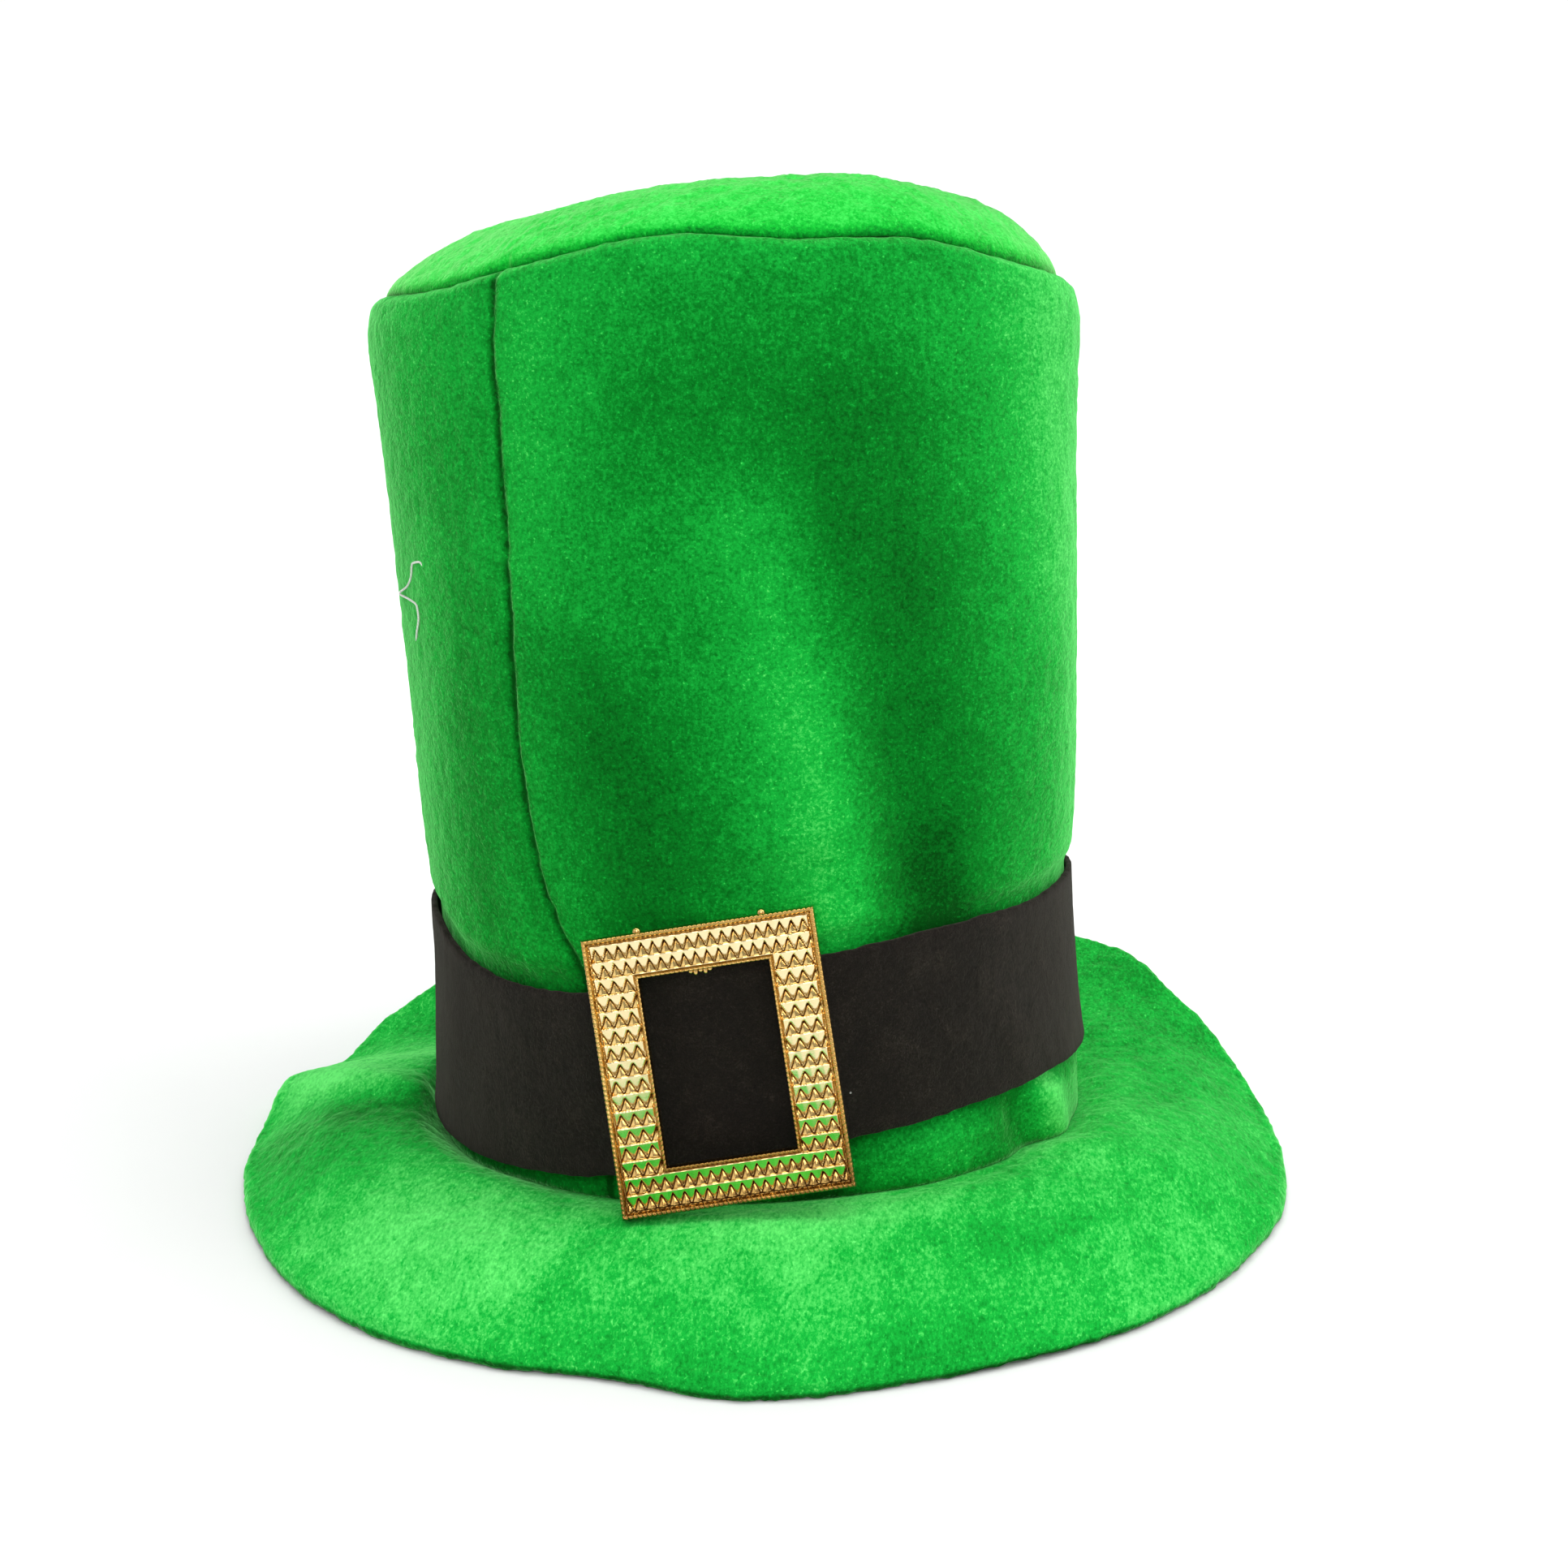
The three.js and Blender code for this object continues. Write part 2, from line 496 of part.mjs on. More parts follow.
function bucklePiece() {
  const [halfW, halfH] = [buckleWidth / 2, buckleHeight / 2];
  const [holeW, holeH] = [buckleWidth - 2 * buckleSide, buckleHeight - 2 * buckleBar];
  const slab = (w, h, thick, z = 0) => Manifold.cube([w, h, thick]).translate([-w / 2, -h / 2, z]);
  const ring = (w, h, width, thick) => slab(w, h, thick).subtract(slab(w - 2 * width, h - 2 * width, 3 * thick, -thick));
  const parts = [
    slab(buckleWidth, buckleHeight, buckleBack),
    ring(buckleWidth, buckleHeight, rimWidth, buckleBack + rimHeight),
    ring(holeW + 2 * lipWidth, holeH + 2 * lipWidth, lipWidth, buckleBack + lipHeight),
  ];
  // zigzags down both sides
  const sideFrom = holeW / 2 + lipWidth;
  const sideTo = halfW - rimWidth;
  const rowPitch = (2 * (halfH - rimWidth)) / sideRows;
  for (let row = 0; row < sideRows; row += 1) {
    const y = halfH - rimWidth - (row + 0.5) * rowPitch;
    const inBar = Math.abs(y) > holeH / 2;
    if (inBar) continue;
    for (const hand of [-1, 1]) {
      const [from, to] = hand < 0 ? [-sideTo, -sideFrom] : [sideFrom, sideTo];
      parts.push(zigzag(from, to, y, sideTeeth, rowPitch, row % 2));
    }
  }
  // zigzags along both bars
  const barDepth = buckleBar - rimWidth - lipWidth;
  const barPitch = barDepth / barRows;
  for (const hand of [-1, 1]) {
    for (let row = 0; row < barRows; row += 1) {
      const y = hand * (holeH / 2 + lipWidth + (row + 0.5) * barPitch);
      parts.push(zigzag(-halfW + rimWidth, halfW - rimWidth, y, barTeeth, barPitch, row % 2));
    }
  }
  // nubs on the top edge and under the window's top edge
  const nub = (x, y, size) => Manifold.cube([size, size, size], true).translate([x, y, buckleBack / 2]);
  for (const share of topNubs) parts.push(nub(share * halfW, halfH, nubSize));
  let solid = parts[0];
  for (const extra of parts.slice(1)) solid = solid.add(extra);
  solid = solid.subtract(slab(holeW, holeH, 6 * buckleBack, -buckleBack));
  for (const share of windowNubs) solid = solid.add(nub(share * halfW, holeH / 2, windowNubSize));
  const mesh = solid.getMesh();
  const positions = [];
  for (let i = 0; i < mesh.vertProperties.length; i += mesh.numProp) {
    positions.push(mesh.vertProperties[i], mesh.vertProperties[i + 1], mesh.vertProperties[i + 2]);
  }
  return solidGeometry(positions, Array.from(mesh.triVerts));
}

const material = (color, roughness, metalness) => new THREE.MeshStandardMaterial({ color, roughness, metalness });

function piece(name, geometry, look) {
  const mesh = new THREE.Mesh(geometry, look);
  mesh.name = name;
  return mesh;
}

const crown = new THREE.Group();
crown.name = 'crown';
crown.add(
  piece('crown_side', crownSide(), material(0x0f9a30, 0.92, 0)),
  piece('crown_top', crownTop(), material(0x12a233, 0.92, 0)),
  piece('hat_band', bandPiece(), material(0x23211f, 0.95, 0)),
);
const buckle = piece('buckle', bucklePiece(), material(0xc9a24a, 0.32, 0.9));
buckle.setRotationFromMatrix(buckleTurned);
buckle.position.copy(buckleBase).addScaledVector(buckleNormal, clearance);
crown.add(buckle);
crown.setRotationFromMatrix(crownFrame);
crown.position.set(0, 0, footLift);

const stand = new THREE.Group();
stand.name = 'hat_on_its_brim';
stand.add(crown, piece('brim', brimPiece(), material(0x14a034, 0.92, 0)));

// The origin is on the floor, under the middle of the whole hat.
stand.updateMatrixWorld(true);
const box = new THREE.Box3().setFromObject(stand, true);
stand.position.set(-(box.min.x + box.max.x) / 2, -(box.min.y + box.max.y) / 2, -box.min.z);

const hat = new THREE.Group();
hat.name = 'leprechaun_hat';
hat.add(stand);

export default hat;
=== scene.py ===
import math

import bpy
import numpy as np
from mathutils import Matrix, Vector


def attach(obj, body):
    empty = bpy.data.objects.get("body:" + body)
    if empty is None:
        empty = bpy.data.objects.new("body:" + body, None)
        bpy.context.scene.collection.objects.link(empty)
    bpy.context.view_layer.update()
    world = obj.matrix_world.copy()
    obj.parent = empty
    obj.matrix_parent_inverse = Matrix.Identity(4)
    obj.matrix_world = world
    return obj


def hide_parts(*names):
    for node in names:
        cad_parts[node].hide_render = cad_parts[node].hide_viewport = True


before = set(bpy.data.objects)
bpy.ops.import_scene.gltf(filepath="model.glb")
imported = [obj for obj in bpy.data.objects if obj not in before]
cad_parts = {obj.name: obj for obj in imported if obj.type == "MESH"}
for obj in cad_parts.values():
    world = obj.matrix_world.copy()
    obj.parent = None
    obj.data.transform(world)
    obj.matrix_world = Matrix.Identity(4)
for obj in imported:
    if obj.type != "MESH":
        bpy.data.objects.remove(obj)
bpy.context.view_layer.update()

CROWN_WIDTH, CROWN_DEPTH, CROWN_HEIGHT = 195, 185, 248
DOME_POWER, DOME_SKEW = 2.8, 6
PLUSH_WALL = 5
LEAN_BACK, LEAN_LEFT = 5.0, 3.2
FOOT_LIFT = 13.6
BRIM_WIDTH, BRIM_PADDING, BRIM_PINCH, BRIM_SWELL, BRIM_FLAT = 61, 7, 0.76, 0.22, 1.1
BAND_HEIGHT, BAND_THICKNESS, BAND_PINCH, BAND_SOFT, BAND_FLATTENS = 50, 1.8, 2.2, 9, 0.8
BUCKLE_WIDTH, BUCKLE_HEIGHT, BUCKLE_SIDE, BUCKLE_BAR, BUCKLE_BACK = 61.5, 73.5, 13.7, 12.1, 2.6
RIM_WIDTH, RIM_HEIGHT, LIP_WIDTH = 1.9, 1.7, 1.4
BUCKLE_TILT, BUCKLE_ROLL, BUCKLE_TURN, BUCKLE_OUT, BUCKLE_AIM = 8.4, 6.3, 3.5, 6.9, 0.6
PRESS_NEAR, PRESS_FAR = 5, 18
CLEARANCE = 0.3
STAND = np.array([-0.1233, -4.5736, 0.0])   # sets the middle of the whole hat over the origin
MM = 0.001

# up, girth: shares of the crown's height and of the foot's half width
CROWN_ROWS = [
    (0.00, 1.000), (0.06, 1.000), (0.14, 0.997), (0.22, 0.996), (0.30, 1.001), (0.36, 1.012), (0.43, 1.023),
    (0.55, 1.032), (0.68, 1.042), (0.80, 1.050), (0.89, 1.063), (0.95, 1.072), (0.983, 1.060), (1.00, 1.022),
]
# angle, rise of the top seam as a share of the crown's height
TOP_SEAM_ROWS = [
    (-150, -0.004), (-100, 0.000), (-70, 0.003), (-43, -0.009), (-25, 0.001), (0, 0.018), (18, 0.008),
    (33, 0.010), (60, -0.008), (90, -0.012), (140, -0.006), (180, -0.002),
]
# up, angle of the upright seam
SEAM_ROWS = [
    (0.00, -20), (0.25, -23), (0.31, -27), (0.37, -29.3), (0.52, -31), (0.70, -30), (0.88, -29.3),
    (1.00, -28),
]
# low, high, angle at low, angle at high, depth as a share of the wall, spread in degrees
FOLD_ROWS = [
    (0.20, 0.62, 36, 27, -1.05, 9), (0.18, 0.66, 21, 11, 0.55, 9), (0.30, 0.85, 62, 66, 0.35, 16),
    (0.34, 0.95, -14, -12, 0.25, 13), (0.30, 0.80, -66, -60, -0.30, 14), (0.25, 0.70, 150, 140, -0.55, 16),
    (0.30, 0.75, -140, -128, -0.50, 15),
    (-0.06, 0.17, 61, 46, -0.70, 5), (-0.06, 0.17, 71, 57, 0.50, 5), (-0.06, 0.15, 30, 36, 0.25, 7),
    (-0.06, 0.15, -38, -40, -0.35, 7), (0.20, 0.34, -8, -4, -0.45, 9),
]
# angle, reach, then heights near the crown, midway and of the rim, as shares of the brim's width
BRIM_ROWS = [
    (-150, 1.010, 0.122, 0.27, 0.41), (-131, 1.000, 0.125, 0.215, 0.330), (-117, 1.003, 0.165, 0.180, 0.165),
    (-105, 0.990, 0.265, 0.220, 0.050), (-95, 1.008, 0.325, 0.300, 0.100), (-80, 1.004, 0.335, 0.310, 0.055),
    (-62, 0.995, 0.325, 0.290, 0.046), (-42, 1.002, 0.322, 0.272, 0.040), (-24, 0.976, 0.328, 0.290, 0.040),
    (-9, 0.948, 0.365, 0.312, 0.040), (5, 0.976, 0.395, 0.305, 0.040), (21, 0.960, 0.415, 0.320, 0.040),
    (44, 0.975, 0.410, 0.325, 0.042), (74, 0.998, 0.385, 0.310, 0.050), (92, 1.010, 0.350, 0.305, 0.085),
    (106, 1.016, 0.325, 0.325, 0.165), (119, 1.012, 0.300, 0.365, 0.340), (134, 1.040, 0.265, 0.375, 0.480),
    (156, 1.042, 0.205, 0.345, 0.475), (180, 1.030, 0.140, 0.310, 0.445),
]
# angle, low, high, looseness of the lower and of the upper edge
BAND_ROWS = [
    (-150, 0.46, 1.48, 0.6, 0.1), (-115, 0.40, 1.48, 1.4, 0.2), (-92, 0.29, 1.47, 2.1, 0.3),
    (-78, 0.215, 1.44, 2.3, 0.3), (-64, 0.150, 1.36, 2.2, 0.2), (-52, 0.120, 1.21, 2.0, 0.1),
    (-40, 0.104, 1.14, 1.7, 0.1), (-28, 0.116, 1.12, 1.3, 0.1), (-14, 0.170, 1.16, 1.2, 0.3),
    (0, 0.240, 1.23, 1.2, 0.4), (18, 0.320, 1.32, 1.2, 0.3), (38, 0.384, 1.385, 1.4, 0.1),
    (60, 0.430, 1.41, 1.6, 0.1), (78, 0.440, 1.45, 1.7, 0.1), (100, 0.460, 1.47, 1.3, 0.1),
    (140, 0.470, 1.48, 0.7, 0.1), (180, 0.480, 1.49, 0.5, 0.1),
]

# Curves, noise and frames


def through(at, values, x):
    """A smooth curve through values, one row for each place in at, with no overshoot between them."""
    at, values, x = np.asarray(at, float), np.asarray(values, float), np.asarray(x, float)
    across = (slice(None),) + (None,) * (values.ndim - 1)
    step = np.diff(values, axis=0) / np.diff(at)[across]
    a, b = step[:-1], step[1:]
    same = a * b > 0
    inner = np.where(same, 2 * a * b / np.where(same, a + b, 1), 0)
    slope = np.concatenate([step[:1], inner, step[-1:]])
    x = np.clip(x, at[0], at[-1])
    i = np.clip(np.searchsorted(at, x, side="left") - 1, 0, len(at) - 2)
    width = at[i + 1] - at[i]
    t = (x - at[i]) / width
    if values.ndim == 1:
        pick = lambda rows, k: rows[k]
    else:
        pick = lambda rows, k: np.take_along_axis(rows, np.broadcast_to(k, rows.shape[1:])[None], 0)[0]
    return (
        pick(values, i) * (1 + 2 * t) * (1 - t) ** 2 + pick(values, i + 1) * t * t * (3 - 2 * t)
        + width * (pick(slope, i) * t * (1 - t) ** 2 - pick(slope, i + 1) * t * t * (1 - t))
    )


def curve(rows, column=1, closed=False):
    """The smooth curve of one column of a table. A closed one goes round with the angle."""
    at, values = np.array([(row[0], row[column]) for row in rows], float).T
    if not closed:
        return lambda x: through(at, values, x)
    at = np.r_[at[-2:] - 360, at, at[:2] + 360]
    values = np.r_[values[-2:], values, values[:2]]
    return lambda x: through(at, values, np.mod(np.asarray(x, float) + 180, 360) - 180)


def smooth(value, low, high):
    t = np.clip((value - low) / (high - low), 0, 1)
    return t * t * (3 - 2 * t)


def turn_between(a, b):
    return np.mod(a - b + 180, 360) - 180


def bell(distance, spread):
    return np.exp(-((distance / spread) ** 2))


def lerp(a, b, t):
    return a + (b - a) * t


LATTICE_SIZE = 64
LATTICE = np.random.default_rng(11).random((LATTICE_SIZE,) * 3) * 2 - 1


def noise(points, size):
    """Smooth lumps from -1 to 1, about size apart."""
    q = np.asarray(points, float) / size
    base = np.floor(q).astype(int)
    part = q - base
    part = part * part * (3 - 2 * part)
    total = 0
    for corner in np.ndindex(2, 2, 2):
        share = np.prod(np.where(np.array(corner, bool), part, 1 - part), axis=-1)
        k = (base + corner) % LATTICE_SIZE
        total = total + share * LATTICE[k[..., 0], k[..., 1], k[..., 2]]
    return total


def lumps(points, size, height):
    return height * noise(points, size)


def turned(axis, degrees):
    """Rotation about x, y or z."""
    c, s = math.cos(math.radians(degrees)), math.sin(math.radians(degrees))
    return np.array({
        "x": [[1, 0, 0], [0, c, -s], [0, s, c]],
        "y": [[c, 0, s], [0, 1, 0], [-s, 0, c]],
        "z": [[c, -s, 0], [s, c, 0], [0, 0, 1]],
    }[axis])


CROWN_TURN = turned("y", -LEAN_LEFT) @ turned("x", -LEAN_BACK)
BUCKLE_TURNED = turned("z", BUCKLE_TURN) @ turned("x", 90 - BUCKLE_TILT) @ turned("z", BUCKLE_ROLL)
BUCKLE_ACROSS, BUCKLE_UP, BUCKLE_NORMAL = BUCKLE_TURNED.T


def crown_to_hat(points):
    return points @ CROWN_TURN.T + np.array([0, 0, FOOT_LIFT])


# The crown's shape

girth = curve(CROWN_ROWS)
top_rise = curve(TOP_SEAM_ROWS, closed=True)
seam_angle = curve(SEAM_ROWS)
brim_reach_share, brim_near, brim_mid, brim_rim = (curve(BRIM_ROWS, k, True) for k in (1, 2, 3, 4))
band_low_share, band_high_share, loose_low, loose_high = (curve(BAND_ROWS, k, True) for k in (1, 2, 3, 4))

SEAM_LINE = 1.1         # half width of the upright seam's stitched line
SEAM_LINE_DEPTH = 0.8
SEAM_SHOULDER = 4.5     # the pile turns down towards it from here
SEAM_SHOULDER_DEPTH = 0.4
SEAM_WAVER = 0.35       # it strays this far to either side
HEM_ROLL = 3.4          # the plush rolls into the top seam over this width
HEM_DEPTH = 2.1


def seam_distance(angle, up):
    """Distance from the upright seam, in millimetres, to the right of it. The seam wavers a little."""
    up = np.asarray(up, float)
    waver = SEAM_WAVER * noise(np.stack([0 * up, 0 * up, up * CROWN_HEIGHT], -1), 4.5)
    return np.radians(turn_between(angle, seam_angle(up))) * CROWN_WIDTH / 2 + waver


def crown_swell(angle, up, seam=1.0):
    extra = np.zeros(np.broadcast(angle, up).shape)
    for low, high, low_angle, high_angle, depth, spread in FOLD_ROWS:
        along = np.clip((up - low) / (high - low), 0, 1)
        at = lerp(low_angle, high_angle, along)
        depth_here = PLUSH_WALL * depth * np.sin(np.pi * along) ** 0.8
        extra = extra + depth_here * bell(turn_between(angle, at), spread)
    away = seam_distance(angle, up)
    return extra - seam * smooth(up, 0.02, 0.1) * (
        SEAM_LINE_DEPTH * bell(away, SEAM_LINE) + SEAM_SHOULDER_DEPTH * bell(away, SEAM_SHOULDER)
    )


def band_low(angle):
    return band_low_share(angle) * BAND_HEIGHT


def band_high(angle):
    return band_high_share(angle) * BAND_HEIGHT


def band_hold(angle, z):
    low, high = band_low(angle), band_high(angle)
    return smooth(z, low - BAND_SOFT, low - BAND_THICKNESS) * (
        1 - smooth(z, high + BAND_THICKNESS, high + BAND_SOFT))


def crown_extra(angle, z, seam=1.0):
    hold = band_hold(angle, z)
    return crown_swell(angle, z / CROWN_HEIGHT, seam) * (1 - BAND_FLATTENS * hold) - BAND_PINCH * hold


def oval_point(angle, up, z, extra):
    t = np.radians(angle)
    x = (CROWN_WIDTH / 2 * girth(up) + extra) * np.sin(t)
    y = -(CROWN_DEPTH / 2 * girth(up) + extra) * np.cos(t)
    return np.stack(np.broadcast_arrays(x, y, z), -1)


def height_at(angle, up):
    return up * CROWN_HEIGHT * (1 + top_rise(angle) * smooth(up, 0.4, 1))


def foot_point(angle, outside=0.0):
    angle = np.asarray(angle, float)
    zero = np.zeros(angle.shape)
    return crown_to_hat(oval_point(angle, zero, zero, crown_extra(angle, zero) + outside))


# The brim's shape


def brim_reach(angle):
    return brim_reach_share(angle) * (CROWN_WIDTH / 2 + BRIM_WIDTH) - BRIM_PADDING / 2


def brim_top(angle, share):
    """Height of the brim's upper face, from the crown's foot, share 0, to the rim, share 1."""
    foot = foot_point(angle)[..., 2] - CLEARANCE
    rim = brim_rim(angle) * BRIM_WIDTH + BRIM_PADDING / 2 - BRIM_FLAT
    rows = np.stack([
        foot,
        np.maximum(brim_near(angle) * BRIM_WIDTH, foot),
        np.maximum(brim_mid(angle) * BRIM_WIDTH, BRIM_PADDING),
        np.maximum(rim, BRIM_PADDING - BRIM_FLAT),
    ])
    return through([0, 0.2, 0.55, 1], rows, share)


def brim_under(points):
    angle = np.degrees(np.arctan2(points[..., 0], -points[..., 1]))
    out = np.hypot(points[..., 0], points[..., 1])
    foot = foot_point(angle)
    start = np.hypot(foot[..., 0], foot[..., 1])
    return brim_top(angle, np.clip((out - start) / (brim_reach(angle) - start), 0, 1))


def buckle_seat():
    """The middle of the buckle's back, in the crown's frame: it slides down its own plane onto the brim."""
    middle = band_low(0) + BUCKLE_AIM * BAND_HEIGHT
    seat = oval_point(0.0, middle / CROWN_HEIGHT, middle, BUCKLE_OUT - BAND_PINCH)
    seat = seat + BUCKLE_UP * BUCKLE_HEIGHT / 4
    samples = 12
    edge = np.array([
        BUCKLE_ACROSS * (k / samples - 0.5) * BUCKLE_WIDTH - BUCKLE_UP * BUCKLE_HEIGHT / 2
        + BUCKLE_NORMAL * out
        for k in range(samples + 1) for out in (0, BUCKLE_BACK + RIM_HEIGHT)
    ])
    down = 0
    while down < BUCKLE_HEIGHT / 2:
        q = crown_to_hat(edge + seat)
        if not (q[:, 2] > brim_under(q) + 2 * CLEARANCE).all():
            break
        seat = seat - BUCKLE_UP * CLEARANCE
        down += CLEARANCE
    return seat + BUCKLE_UP * CLEARANCE


BUCKLE_BASE = buckle_seat()


def pressed(points, gap):
    """Draws surface points back until they lie behind the buckle, where it covers them."""
    local = points - BUCKLE_BASE
    across = np.abs(local @ BUCKLE_ACROSS) - BUCKLE_WIDTH / 2
    upward = np.abs(local @ BUCKLE_UP) - BUCKLE_HEIGHT / 2
    cover = 1 - smooth(np.maximum(across, upward), PRESS_NEAR, PRESS_FAR)
    over = np.maximum((local @ BUCKLE_NORMAL + gap) * cover, 0)
    return points - over[..., None] * BUCKLE_NORMAL


def crown_point(angle, up, inset=0.0, seam=1.0):
    z = height_at(angle, up)
    behind = CLEARANCE + band_hold(angle, z) * (BAND_THICKNESS + CLEARANCE)
    outer = pressed(oval_point(angle, up, z, crown_extra(angle, z, seam)), behind)
    t = np.radians(angle)
    inwards = np.stack(np.broadcast_arrays(-np.sin(t), np.cos(t), 0 * t), -1)
    return outer + inset * inwards


# Meshes


def grid_quads(rows, columns, closed=True):
    """Faces of a grid of points, with its columns going round when closed."""
    i, k = np.meshgrid(np.arange(rows - 1), np.arange(columns if closed else columns - 1), indexing="ij")
    k2 = (k + 1) % columns
    return np.stack([i * columns + k, i * columns + k2, (i + 1) * columns + k2, (i + 1) * columns + k],
                    -1).reshape(-1, 4)


def normals_of(grid):
    """Outward unit normals of a grid whose columns go round."""
    along = np.roll(grid, -1, axis=1) - np.roll(grid, 1, axis=1)
    up = np.gradient(grid, axis=0)
    n = np.cross(along, up)
    return n / np.maximum(np.linalg.norm(n, axis=-1, keepdims=True), 1e-9)


def add_piece(name, points, faces, materials, face_slots=None, replaces=None):
    """A smooth mesh piece from points in the hat's frame."""
    mesh = bpy.data.meshes.new(name)
    mesh.from_pydata(((points + STAND) * MM).tolist(), [], [list(f) for f in faces])
    mesh.validate()
    mesh.polygons.foreach_set("use_smooth", [True] * len(mesh.polygons))
    for item in materials:
        mesh.materials.append(item)
    if face_slots is not None:
        mesh.polygons.foreach_set("material_index", [int(s) for s in face_slots])
    mesh.update()
    obj = bpy.data.objects.new(name, mesh)
    bpy.context.scene.collection.objects.link(obj)
    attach(obj, "root")
    if replaces:
        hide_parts(replaces)
    return obj


# Materials


class Nodes:
    """A material's node tree, with short calls to add and join nodes."""

    def __init__(self, name):
        self.material = bpy.data.materials.new(name)
        self.material.use_nodes = True
        self.tree = self.material.node_tree
        self.tree.nodes.clear()
        self.output = self.tree.nodes.new("ShaderNodeOutputMaterial")
        self.shader = self.tree.nodes.new("ShaderNodeBsdfPrincipled")
        self.tree.links.new(self.shader.outputs[0], self.output.inputs[0])
        self.place = self.tree.nodes.new("ShaderNodeTexCoord").outputs["Object"]

    def add(self, kind, inputs=None, **settings):
        node = self.tree.nodes.new(kind)
        for key, value in settings.items():
            setattr(node, key, value)
        for key, value in (inputs or {}).items():
            if isinstance(value, bpy.types.NodeSocket):
                self.tree.links.new(value, node.inputs[key])
            else:
                node.inputs[key].default_value = value
        return node

    def set(self, **values):
        for key, value in values.items():
            socket = self.shader.inputs[key.replace("_", " ")]
            if isinstance(value, bpy.types.NodeSocket):
                self.tree.links.new(value, socket)
            else:
                socket.default_value = value

    def stretched(self, scale):
        return self.add("ShaderNodeMapping", {"Vector": self.place, "Scale": scale}).outputs[0]

    def noise(self, size, detail=2.0, roughness=0.5, distortion=0.0, vector=None):
        """Noise from 0 to 1 with lumps about size millimetres apart."""
        return self.add("ShaderNodeTexNoise", {
            "Vector": vector or self.place, "Scale": 1 / (size * MM), "Detail": detail,
            "Roughness": roughness, "Distortion": distortion}).outputs[0]

    def math(self, operation, a, b=0.5, c=0.5, clamp=False):
        node = self.add("ShaderNodeMath", operation=operation, use_clamp=clamp)
        for socket, value in zip(node.inputs, (a, b, c)):
            if isinstance(value, bpy.types.NodeSocket):
                self.tree.links.new(value, socket)
            else:
                socket.default_value = value
        return node.outputs[0]

    def weigh(self, base, *terms):
        """base + the sum of weight x (value - 0.5)."""
        total = base
        for value, weight in terms:
            total = self.math("MULTIPLY_ADD", self.math("SUBTRACT", value, 0.5), weight, total)
        return total

    def ramp(self, value, *stops):
        node = self.add("ShaderNodeValToRGB", {"Fac": value})
        elements = node.color_ramp.elements
        while len(elements) < len(stops):
            elements.new(1.0)
        for element, (at, colour) in zip(elements, stops):
            element.position = at
            element.color = (*colour, 1)
        return node.outputs[0]

    def bump(self, height, distance, strength=1.0, under=None):
        inputs = {"Height": height, "Distance": distance * MM, "Strength": strength}
        if under is not None:
            inputs["Normal"] = under
        return self.add("ShaderNodeBump", inputs).outputs[0]


PILE_GRAIN = (1.0, 0.45, 1.0)    # the pile is brushed from front to back, so its tufts are longer that way
# the light stops of the plush's colours: for the wall and brim, and for the tip
PLUSH_LIGHT = ((0.65, (0.0080, 0.44, 0.045)), (1.0, (0.130, 0.80, 0.160)))
TIP_LIGHT = ((0.65, (0.0050, 0.47, 0.032)), (1.0, (0.060, 0.76, 0.105)))


def plush_material(name, lightness, clouds, fuzz=(0.25, 1.0, 0.28, 1), light=PLUSH_LIGHT):
    """Short velour pile: brushed zones, soft mottling, single tufts and painted glints, with sheen at its
    edges. A painted attribute adds nap zones with painted light and shade.
    """
    n = Nodes(name)
    grain = n.stretched(PILE_GRAIN)
    zones = n.noise(48, 2.0, 0.5, 0.6)
    mottle = n.noise(13, 3.0, 0.55, 0.8, grain)
    tufts = n.noise(2.6, 2.0, 0.6, 0.3, grain)
    hairs = n.noise(0.95, 3.0, 0.7, 0.0, grain)
    # painted glints: bright tips of single hairs, added to the colour
    glints = n.math("MAXIMUM", n.math("SUBTRACT", n.noise(0.7, 1.0, 0.5, 0.0, grain), 0.61), 0.0)
    # nap zones, painted light and painted shade, read from the mesh's attribute
    nap_light_and_shade_fac = n.add("ShaderNodeAttribute", attribute_name="nap_light_and_shade").outputs["Fac"]
    value = n.weigh(lightness, (zones, 0.8 * clouds), (mottle, clouds), (tufts, 0.26), (hairs, 0.85))
    value = n.math("MULTIPLY_ADD", glints, 1.4, value)
    value = n.math("ADD", value, nap_light_and_shade_fac, clamp=True)
    n.set(
        Base_Color=n.ramp(value, (0.0, (0.0006, 0.060, 0.004)), (0.35, (0.0016, 0.205, 0.016)),
                          *light),
        Roughness=0.85,
        Specular_IOR_Level=0.03,
        Sheen_Weight=1.0,
        Sheen_Roughness=0.33,
        Sheen_Tint=fuzz,
        Normal=n.bump(hairs, 0.45, 0.7, n.bump(tufts, 0.9, 0.5, n.bump(mottle, 1.2, 0.35))),
    )
    return n.material


def backing_material():
    """Knitted back of the plush: fine ribs of loops."""
    n = Nodes("plush_backing")
    rows = n.add("ShaderNodeTexWave", {"Vector": n.place, "Scale": 260.0, "Distortion": 2.0, "Detail": 1.0},
                 wave_type="BANDS", bands_direction="Z").outputs["Fac"]
    loops = n.noise(0.9, 2.0, 0.6)
    value = n.weigh(0.5, (rows, 0.4), (loops, 0.5), (n.noise(20), 0.3))
    n.set(
        Base_Color=n.ramp(value, (0.0, (0.004, 0.11, 0.012)), (1.0, (0.03, 0.33, 0.05))),
        Roughness=0.9, Sheen_Weight=0.2, Sheen_Roughness=0.5,
        Normal=n.bump(value, 0.3, 0.7),
    )
    return n.material


